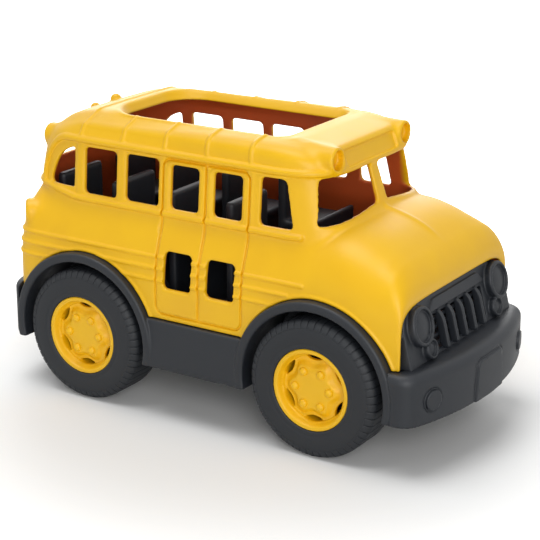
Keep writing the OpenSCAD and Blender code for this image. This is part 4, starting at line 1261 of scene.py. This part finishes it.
@dataclass
class GrillePanel:
    """Charcoal front panel that leans back, with lamps, upright bars and slats behind them."""

    foot_x: float = 117.5
    foot_z: float = 54.75
    tilt: float = math.radians(14.5)
    half: float = 55.4
    rise: float = 24.8
    shoulder: float = 58.7
    opening: Pane = Pane(10.6, 28.6, 8.6, 2.0)
    header: Pairs = ((-31.0, 21.2), (31.0, 21.2), (25.0, 27.2), (-25.0, 27.2))
    headlamp: tuple[float, ...] = (42.1, 18.3, 10.1, 4.4, 2.0)
    small_lamp: tuple[float, ...] = (36.6, 5.3, 5.3, 3.7, 1.4)
    bars: int = 5
    bar_step: float = 10.2
    slats: int = 4
    slat_step: float = 4.1
    pitch: float = 0.6

    def build(self) -> bpy.types.Object:
        """Moulds the panel with its lamps.

        Returns:
            The panel without bars and slats.
        """
        mould = Mould((103.0, -57.0, 52.5), (127.0, 57.0, 85.5), self.pitch)
        c, s = math.cos(self.tilt), math.sin(self.tilt)

        def local(x: Array, z: Array) -> tuple[Array, Array]:
            """Distance in front of the panel and height up it."""
            dx, dz = x - self.foot_x, z - self.foot_z
            return dx * c + dz * s, -dx * s + dz * c

        def plate(x: Array, y: Array, z: Array) -> Array:
            """Distance to the plate with the outline of the nose opening."""
            out, _ = local(x, z)
            low = np.maximum(z - self.shoulder, 0) / self.rise
            size = ((np.abs(y) / self.half) ** 6 + low ** 6) ** (1 / 6)
            edge = np.maximum((size - 1) * 25.0, 54.0 - z)
            face = soft_max(edge, np.abs(out + 1.5) - 1.5, 0.6)
            back = soft_max(np.abs(edge + 1.0) - 1.0, np.abs(out + 5.0) - 4.5, 0.4)
            return np.minimum(face, back)

        mould.join(plate, 0.3)

        def header(x: Array, y: Array, z: Array) -> Array:
            """Distance to the raised step above the bars."""
            out, up = local(x, z)
            return soft_max(convex(y, up, self.header, 1.2), np.abs(out) - 1.2, 0.6)

        mould.join(header, 0.5)

        def opening(x: Array, y: Array, z: Array) -> Array:
            """Distance to the hole behind the bars."""
            _, up = local(x, z)
            return self.opening.outline(y, up, 0.0)

        mould.carve(opening, 0.7)
        for sign in (-1, 1):
            for across, *rest in (self.headlamp, self.small_lamp):
                self.lamp(mould, local, across * sign, *rest)
        return mould.cast("grille_moulding", 0.03)

    def lamp(self, mould: Mould, local: Callable[[Array, Array], tuple[Array, Array]], y0: float, up0: float,
             radius: float, height: float, rim: float) -> None:
        """Adds a drum lamp with a raised rim and a low domed lens.

        Args:
            mould: Block to add to.
            local: Gives distance in front of the panel and height up it.
            y0: Place across the bus.
            up0: Place up the panel.
            radius: Outer radius.
            height: How far the rim stands out.
            rim: Width of the rim.
        """
        def drum(x: Array, y: Array, z: Array) -> Array:
            """Distance to the drum."""
            out, up = local(x, z)
            return round_rect(np.hypot(y - y0, up - up0), out - height / 2 + 1, radius, height / 2 + 1, 1.3)

        def bowl(x: Array, y: Array, z: Array) -> Array:
            """Distance to the recess over the lens."""
            out, up = local(x, z)
            away = np.hypot(y - y0, up - up0)
            lens = 1.9 - 1.3 * (1 - (away / (radius - rim)) ** 2)
            return soft_max(away - (radius - rim), height - lens - out, 0.5)

        mould.join(drum, 0.7)
        mould.carve(bowl, 0.5)

    def bar(self) -> bpy.types.Object:
        """One upright bar with a rounded front and a top that bends back into the header.

        Returns:
            The bar, upright at the origin.
        """
        mould = Mould((-5.0, -2.4, -1.0), (5.0, 2.4, 23.0), 0.3)
        side = [(-1.4, 0.6), (3.3, 0.6), (3.3, 16.8), (1.0, 20.8), (-1.4, 20.8)]
        mould.join(lambda x, y, z: soft_max(convex(x, z, side, 1.4), np.abs(y) - 1.15, 0.9), 0.2)
        return mould.cast("grille_bars", 0.06)

    def slat(self) -> bpy.types.Object:
        """One level slat that crosses the opening behind the bars.

        Returns:
            The slat, centred on the origin.
        """
        mould = Mould((-1.6, -30.5, -1.8), (1.6, 30.5, 1.8), 0.4)
        mould.join(lambda x, y, z: round_box((x, y, z), (-0.8, -29.6, -0.9), (0.8, 29.6, 0.9), 0.5), 0.2)
        return mould.cast("grille_slats", 0.06)

    def lay_bars(self, repeater: Repeater, material: bpy.types.Material) -> list[bpy.types.Object]:
        """Repeats bars across and slats up the opening.

        Args:
            repeater: Tree that lays the copies.
            material: Finish of both.

        Returns:
            The bars and the slats, each as one mesh.
        """
        place = (self.foot_x * MM, 0.0, self.foot_z * MM)
        first_y = -(self.bars - 1) / 2 * self.bar_step
        bars = repeater.lay(self.bar(), Count=self.bars, Start=(0.0, first_y * MM, 0.0),
                            Step=(0.0, self.bar_step * MM, 0.0), Tilt=-self.tilt, Place=place,
                            Finish=material)
        slats = repeater.lay(self.slat(), Count=self.slats, Start=(-2.1 * MM, 0.0, 4.4 * MM),
                             Step=(0.0, 0.0, self.slat_step * MM), Tilt=-self.tilt, Place=place,
                             Finish=material)
        return [bars, slats]


# Wheels


@dataclass
class Wheel:
    """Charcoal tyre with shoulder blocks and a yellow pressed-in hub."""

    axle: Axle
    side: Side
    radius: float = AXLE_Z
    axle_z: float = AXLE_Z
    face: float = 65.2
    back: float = 38.5
    tyre_bore: float = 19.4
    web_bore: float = 8.4
    hub_radius: float = 21.5
    axle_bore: float = 4.05
    slot_circle: float = 9.4
    slot_centres: tuple[float, float] = (8.3, 24.3)
    stud_radius: float = 2.3
    stud_circle: float = 9.8
    blocks: int = 54
    studs: int = 6

    @property
    def label(self) -> str:
        """Axle and side in words, as the CAD nodes have them."""
        return f"{self.axle.name.lower()}_{self.side.name.lower()}"

    def place(self) -> Point:
        """Place of the wheel's centre in metres, on the middle plane of the bus."""
        return (self.axle.value * MM, 0.0, self.axle_z * MM)

    def settle(self, obj: bpy.types.Object) -> bpy.types.Object:
        """Moves a wheel piece made about the origin for the left side to its place.

        Args:
            obj: Piece to move.

        Returns:
            The same piece.
        """
        x, y, z = self.place()
        count = len(obj.data.vertices)
        spots = np.empty(count * 3, np.float32)
        obj.data.vertices.foreach_get("co", spots)
        spots = spots.reshape(-1, 3)
        spots[:, 1] *= self.side.value
        spots += np.array((x, y, z), np.float32)
        obj.data.vertices.foreach_set("co", spots.ravel())
        obj.data.update()
        if self.side is Side.RIGHT:
            obj.data.flip_normals()
        return obj

    def tyre(self) -> bpy.types.Object:
        """Smooth tyre carcass with a recess that the hub lip sits in.

        Returns:
            The carcass, in place.
        """
        r, f, b = self.radius - 0.55, self.face, self.back
        bore, web = self.tyre_bore, self.web_bore
        outline = [(bore, b), (r - 5, b)]
        outline += [(r - 5 + 5 * math.sin(t), b + 5 - 5 * math.cos(t)) for t in np.linspace(0.2, 1.57, 8)]
        outline += [(r - 6 + 6 * math.cos(t), f - 4.4 + 4.2 * math.sin(t)) for t in np.linspace(0.0, 1.5, 10)]
        outline += [(25.6, f), (24.8, f - 0.15), (24.2, f - 0.35), (23.4, f - 0.2), (22.4, f - 0.1),
                    (21.8, f - 0.25), (21.6, f - 0.8), (21.6, f - 2.9), (bore, f - 2.9),
                    (bore, b + 3.6), (web, b + 3.6), (web, b + 1.4), (bore, b + 1.4)]
        return self.settle(lathe(f"tyre_{self.label}_carcass", outline, 144))

    def tread(self, repeater: Repeater, material: bpy.types.Material) -> bpy.types.Object:
        """Low tread blocks that wrap over both shoulders, repeated round the tyre.

        Args:
            repeater: Tree that lays the copies.
            material: Finish of the copies.

        Returns:
            All blocks as one mesh, in place.
        """
        r, f, b = self.radius, self.face, self.back
        outline = [(r - 2.6, b + 3.2), (r - 4.2, b + 0.35)]
        outline += [(r - 5 + 5 * math.sin(t), b + 5.1 - 5 * math.cos(t)) for t in np.linspace(0.35, 1.57, 6)]
        outline += [(r - 6 + 6 * math.cos(t), f - 4.4 + 4.35 * math.sin(t))
                    for t in np.linspace(0.0, 1.25, 8)]
        outline += [(r - 4.6, f - 2.0), (r - 2.6, f - 4.6)]
        width = math.tau / self.blocks * 0.9
        block = lathe(f"tread_{self.label}", outline, 4, width, -width / 2)
        bevel = block.modifiers.new("soft", "BEVEL")
        bevel.width, bevel.segments, bevel.limit_method = 0.25 * MM, 2, "ANGLE"
        bevel.angle_limit = math.radians(55)
        seen = block.evaluated_get(bpy.context.evaluated_depsgraph_get())
        block.data = bpy.data.meshes.new_from_object(seen)
        block.modifiers.clear()
        repeater.lay(block, Count=self.blocks, Turn=math.tau / self.blocks,
                     Phase=math.pi / 2, Finish=material)
        return self.settle(block)

    def hub(self) -> bpy.types.Object:
        """Dished hub with a flat lip, lens-shaped slots and a raised middle.

        Returns:
            The hub, in place.
        """
        f = self.face - 0.5
        mould = Mould((-23.0, 33.5, -23.0), (23.0, 66.0, 23.0), 0.42)
        outer = self.hub_radius

        def disc(x: Array, y: Array, z: Array) -> Array:
            """Distance to lip, dish and raised middle."""
            r = np.hypot(x, z)
            edge = 13.0 + 1.5 * np.cos(self.studs * np.arctan2(z, x))
            top = f - 4.6 * ramp(r, outer - 1.8, outer - 4.6) + 2.4 * ramp(r, edge + 1.8, edge - 2.0)
            under = f - 2.2 - 4.8 * ramp(r, outer - 1.6, outer - 3.8)
            return soft_max(soft_max((y - top) * 0.8, under - y, 0.4), r - outer, 0.5)

        mould.join(disc, 0.3)
        mould.join(lambda x, y, z: round_rect(np.hypot(x, z) - 18.3, y - 52.5, 1.0, 9.0, 0.4), 0.6)
        mould.join(lambda x, y, z: round_rect(np.hypot(x, z), y - 48.0, 7.5, 13.5, 0.6), 0.8)
        for k in range(self.studs):
            a = math.tau * (k + 0.5) / self.studs
            ux, uz = math.cos(a), math.sin(a)

            def lens(x: Array, y: Array, z: Array) -> Array:
                """Distance to one lens-shaped slot."""
                out, across = x * ux + z * uz, -x * uz + z * ux
                near, far = self.slot_centres
                away = np.maximum(np.hypot(out - near, across), np.hypot(out - far, across))
                return away - self.slot_circle

            mould.carve(lambda x, y, z: np.maximum(lens(x, y, z), 45.0 - y), 0.4,
                        (-23, 46, -23), (23, 66, 23))
        mould.carve(lambda x, y, z: round_rect(np.hypot(x, z), y - 34.0, self.axle_bore, 24.0, 0.2), 0.2)
        return self.settle(mould.cast(f"hub_{self.label}_dish", 0.03))

    def stud_ring(self, repeater: Repeater, material: bpy.types.Material) -> bpy.types.Object:
        """Round studs on the edge of the raised middle.

        Args:
            repeater: Tree that lays the copies.
            material: Finish of the copies.

        Returns:
            All studs as one mesh, in place.
        """
        f = self.face - 0.5
        r = self.stud_radius
        dome = [(r * math.cos(t), f - 2.2 + 2.0 * math.sin(t)) for t in np.linspace(0.0, 1.45, 8)]
        outline = [(0.0, f - 4.4), (r, f - 4.4)] + dome + [(0.0, f - 0.19)]
        stud = lathe(f"studs_{self.label}", outline, 20)
        stud.data.transform(Matrix.Translation((self.stud_circle * MM, 0, 0)))
        repeater.lay(stud, Count=self.studs, Turn=math.tau / self.studs, Finish=material)
        return self.settle(stud)


# Studio


@dataclass
class Studio:
    """Pale floor, soft lamps and the camera at the photograph's angle."""

    eye: Point = (460.8, -715.9, 351.5)
    aim: Point = (1.12, 0.0, 69.6)
    lens_mm: float = 110.78
    lamps: tuple[tuple[str, Point, float, float], ...] = (
        ("key_softbox", (-0.45, -0.3, 2.7), 1.6, 38.5),
        ("back_softbox", (-1.0, 1.6, 0.95), 1.4, 18.0),
        ("front_fill", (1.0, -1.2, 0.6), 0.9, 12.5))
    # Painted glow on the floor: where it starts, where it is full, and how strong it gets.
    painted_glow_near: float = 0.1
    painted_glow_far: float = 0.42
    painted_glow_strength: float = 1.2
    surround: float = 0.27

    def camera(self) -> None:
        """Sets the camera up."""
        data = bpy.data.cameras.new("camera")
        data.lens, data.sensor_width, data.sensor_fit = self.lens_mm, 36.0, "HORIZONTAL"
        data.clip_start, data.clip_end = 0.05, 30.0
        obj = bpy.data.objects.new("camera", data)
        obj.location = Vector(self.eye) * MM
        look = (Vector(self.aim) - Vector(self.eye)).normalized()
        obj.rotation_euler = look.to_track_quat("-Z", "Y").to_euler()
        bpy.context.scene.collection.objects.link(obj)
        bpy.context.scene.camera = obj

    def lamp(self, name: str, spot: Point, size: float, watts: float) -> None:
        """Adds a square soft lamp that points at the bus.

        Args:
            name: Name of the lamp.
            spot: Place in metres.
            size: Side of the lamp in metres.
            watts: Power.
        """
        data = bpy.data.lights.new(name, "AREA")
        data.shape, data.size, data.energy = "SQUARE", size, watts
        obj = bpy.data.objects.new(name, data)
        obj.location = spot
        aim = Vector((0, 0, 0.07)) - Vector(spot)
        obj.rotation_euler = aim.to_track_quat("-Z", "Y").to_euler()
        bpy.context.scene.collection.objects.link(obj)

    def floor(self) -> None:
        """Lays the floor, white to the camera but for the shadow it holds, with a painted glow that whitens
        it away from the bus.
        """
        mesh = bpy.data.meshes.new("floor")
        mesh.from_pydata([(-6, -6, 0), (6, -6, 0), (6, 6, 0), (-6, 6, 0)], [], [(0, 1, 2, 3)])
        obj = bpy.data.objects.new("floor", mesh)
        bpy.context.scene.collection.objects.link(obj)
        paper = bpy.data.materials.new("white_paper_sweep")
        paper.use_nodes = True
        tree = paper.node_tree
        tree.nodes.clear()
        rays = add_node(tree, "ShaderNodeLightPath").outputs
        matte = add_node(tree, "ShaderNodeBsdfDiffuse", inputs={"Color": linear("#F2F2F1")})
        place = add_node(tree, "ShaderNodeTexCoord").outputs["Object"]
        away = add_node(tree, "ShaderNodeVectorMath", {"operation": "LENGTH"}, {0: place})
        # Painted light: a glow seen only by the camera, which grows with distance from the bus, whitens the
        # floor there and lifts the outer edge of the shadow.
        painted_glow_ramp = add_node(tree, "ShaderNodeMapRange", {"interpolation_type": "SMOOTHSTEP"}, {
            "Value": away.outputs["Value"], "From Min": self.painted_glow_near, "From Max": self.painted_glow_far,
            "To Min": 0.0, "To Max": self.painted_glow_strength})
        glow = add_node(tree, "ShaderNodeEmission", inputs={
            "Color": linear("#FFFFFF"), "Strength": painted_glow_ramp.outputs["Result"]})
        both = add_node(tree, "ShaderNodeAddShader", inputs={0: matte.outputs[0], 1: glow.outputs[0]})
        seen = add_node(tree, "ShaderNodeMixShader", inputs={
            0: rays["Is Camera Ray"], 1: matte.outputs[0], 2: both.outputs[0]})
        add_node(tree, "ShaderNodeOutputMaterial", inputs={"Surface": seen.outputs[0]})
        mesh.materials.append(paper)

    def world(self) -> None:
        """Even soft surround, white where the camera sees it."""
        world = bpy.data.worlds.new("surround")
        bpy.context.scene.world = world
        world.use_nodes = True
        tree = world.node_tree
        tree.nodes.clear()
        rays = add_node(tree, "ShaderNodeLightPath").outputs
        direct = add_node(tree, "ShaderNodeMath", {"operation": "MAXIMUM"}, {
            0: rays["Is Camera Ray"], 1: rays["Is Transmission Ray"]})
        shown = add_node(tree, "ShaderNodeMath", {"operation": "MAXIMUM"}, {
            0: direct.outputs[0], 1: rays["Is Glossy Ray"]})
        level = add_node(tree, "ShaderNodeMapRange", inputs={
            "Value": shown.outputs[0], "To Min": self.surround, "To Max": 1.0})
        back = add_node(tree, "ShaderNodeBackground", inputs={
            "Color": (1, 1, 1, 1), "Strength": level.outputs["Result"]})
        add_node(tree, "ShaderNodeOutputWorld", inputs={"Surface": back.outputs[0]})

    def build(self) -> None:
        """Sets up floor, lamps, surround and camera."""
        bpy.context.scene.view_settings.view_transform = "Standard"
        self.floor()
        self.world()
        for lamp in self.lamps:
            self.lamp(*lamp)
        self.camera()


def main() -> None:
    """Builds the bus piece by piece, then the studio."""
    logging.basicConfig(level=logging.INFO, format="%(message)s")
    yellow, charcoal, tyre, rod = (f.material() for f in (YELLOW, CHARCOAL, TYRE, ROD))
    repeater = Repeater()
    finish_piece(BodyShell().build(), "bus_body", yellow, ["body_shell"])
    finish_piece(Chassis().build(), "bus_body", charcoal, ["chassis"])
    finish_piece(SeatDeck().build(), "bus_body", charcoal, ["seat_deck"])
    panel = GrillePanel()
    finish_piece(panel.build(), "bus_body", charcoal, ["grille_panel"])
    for piece in panel.lay_bars(repeater, charcoal):
        finish_piece(piece, "bus_body", charcoal)
    finish_piece(Bumper().front(), "bus_body", charcoal, ["front_bumper"])
    finish_piece(Bumper().rear(), "bus_body", charcoal, ["rear_bumper"])
    for axle in Axle:
        for side in Side:
            wheel = Wheel(axle, side)
            finish_piece(wheel.tyre(), axle.body, tyre, [f"tyre_{wheel.label}"])
            finish_piece(wheel.tread(repeater, tyre), axle.body, tyre)
            finish_piece(wheel.hub(), axle.body, yellow, [f"hub_{wheel.label}"])
            finish_piece(wheel.stud_ring(repeater, yellow), axle.body, yellow)
        shaft = frame["nodes"][f"{axle.name.lower()}_axle"]
        shaft.data.materials.clear()
        shaft.data.materials.append(rod)
        LOG.info("%s shown from the CAD model", shaft.name)
    Studio().build()


if __name__ == "__main__":
    main()
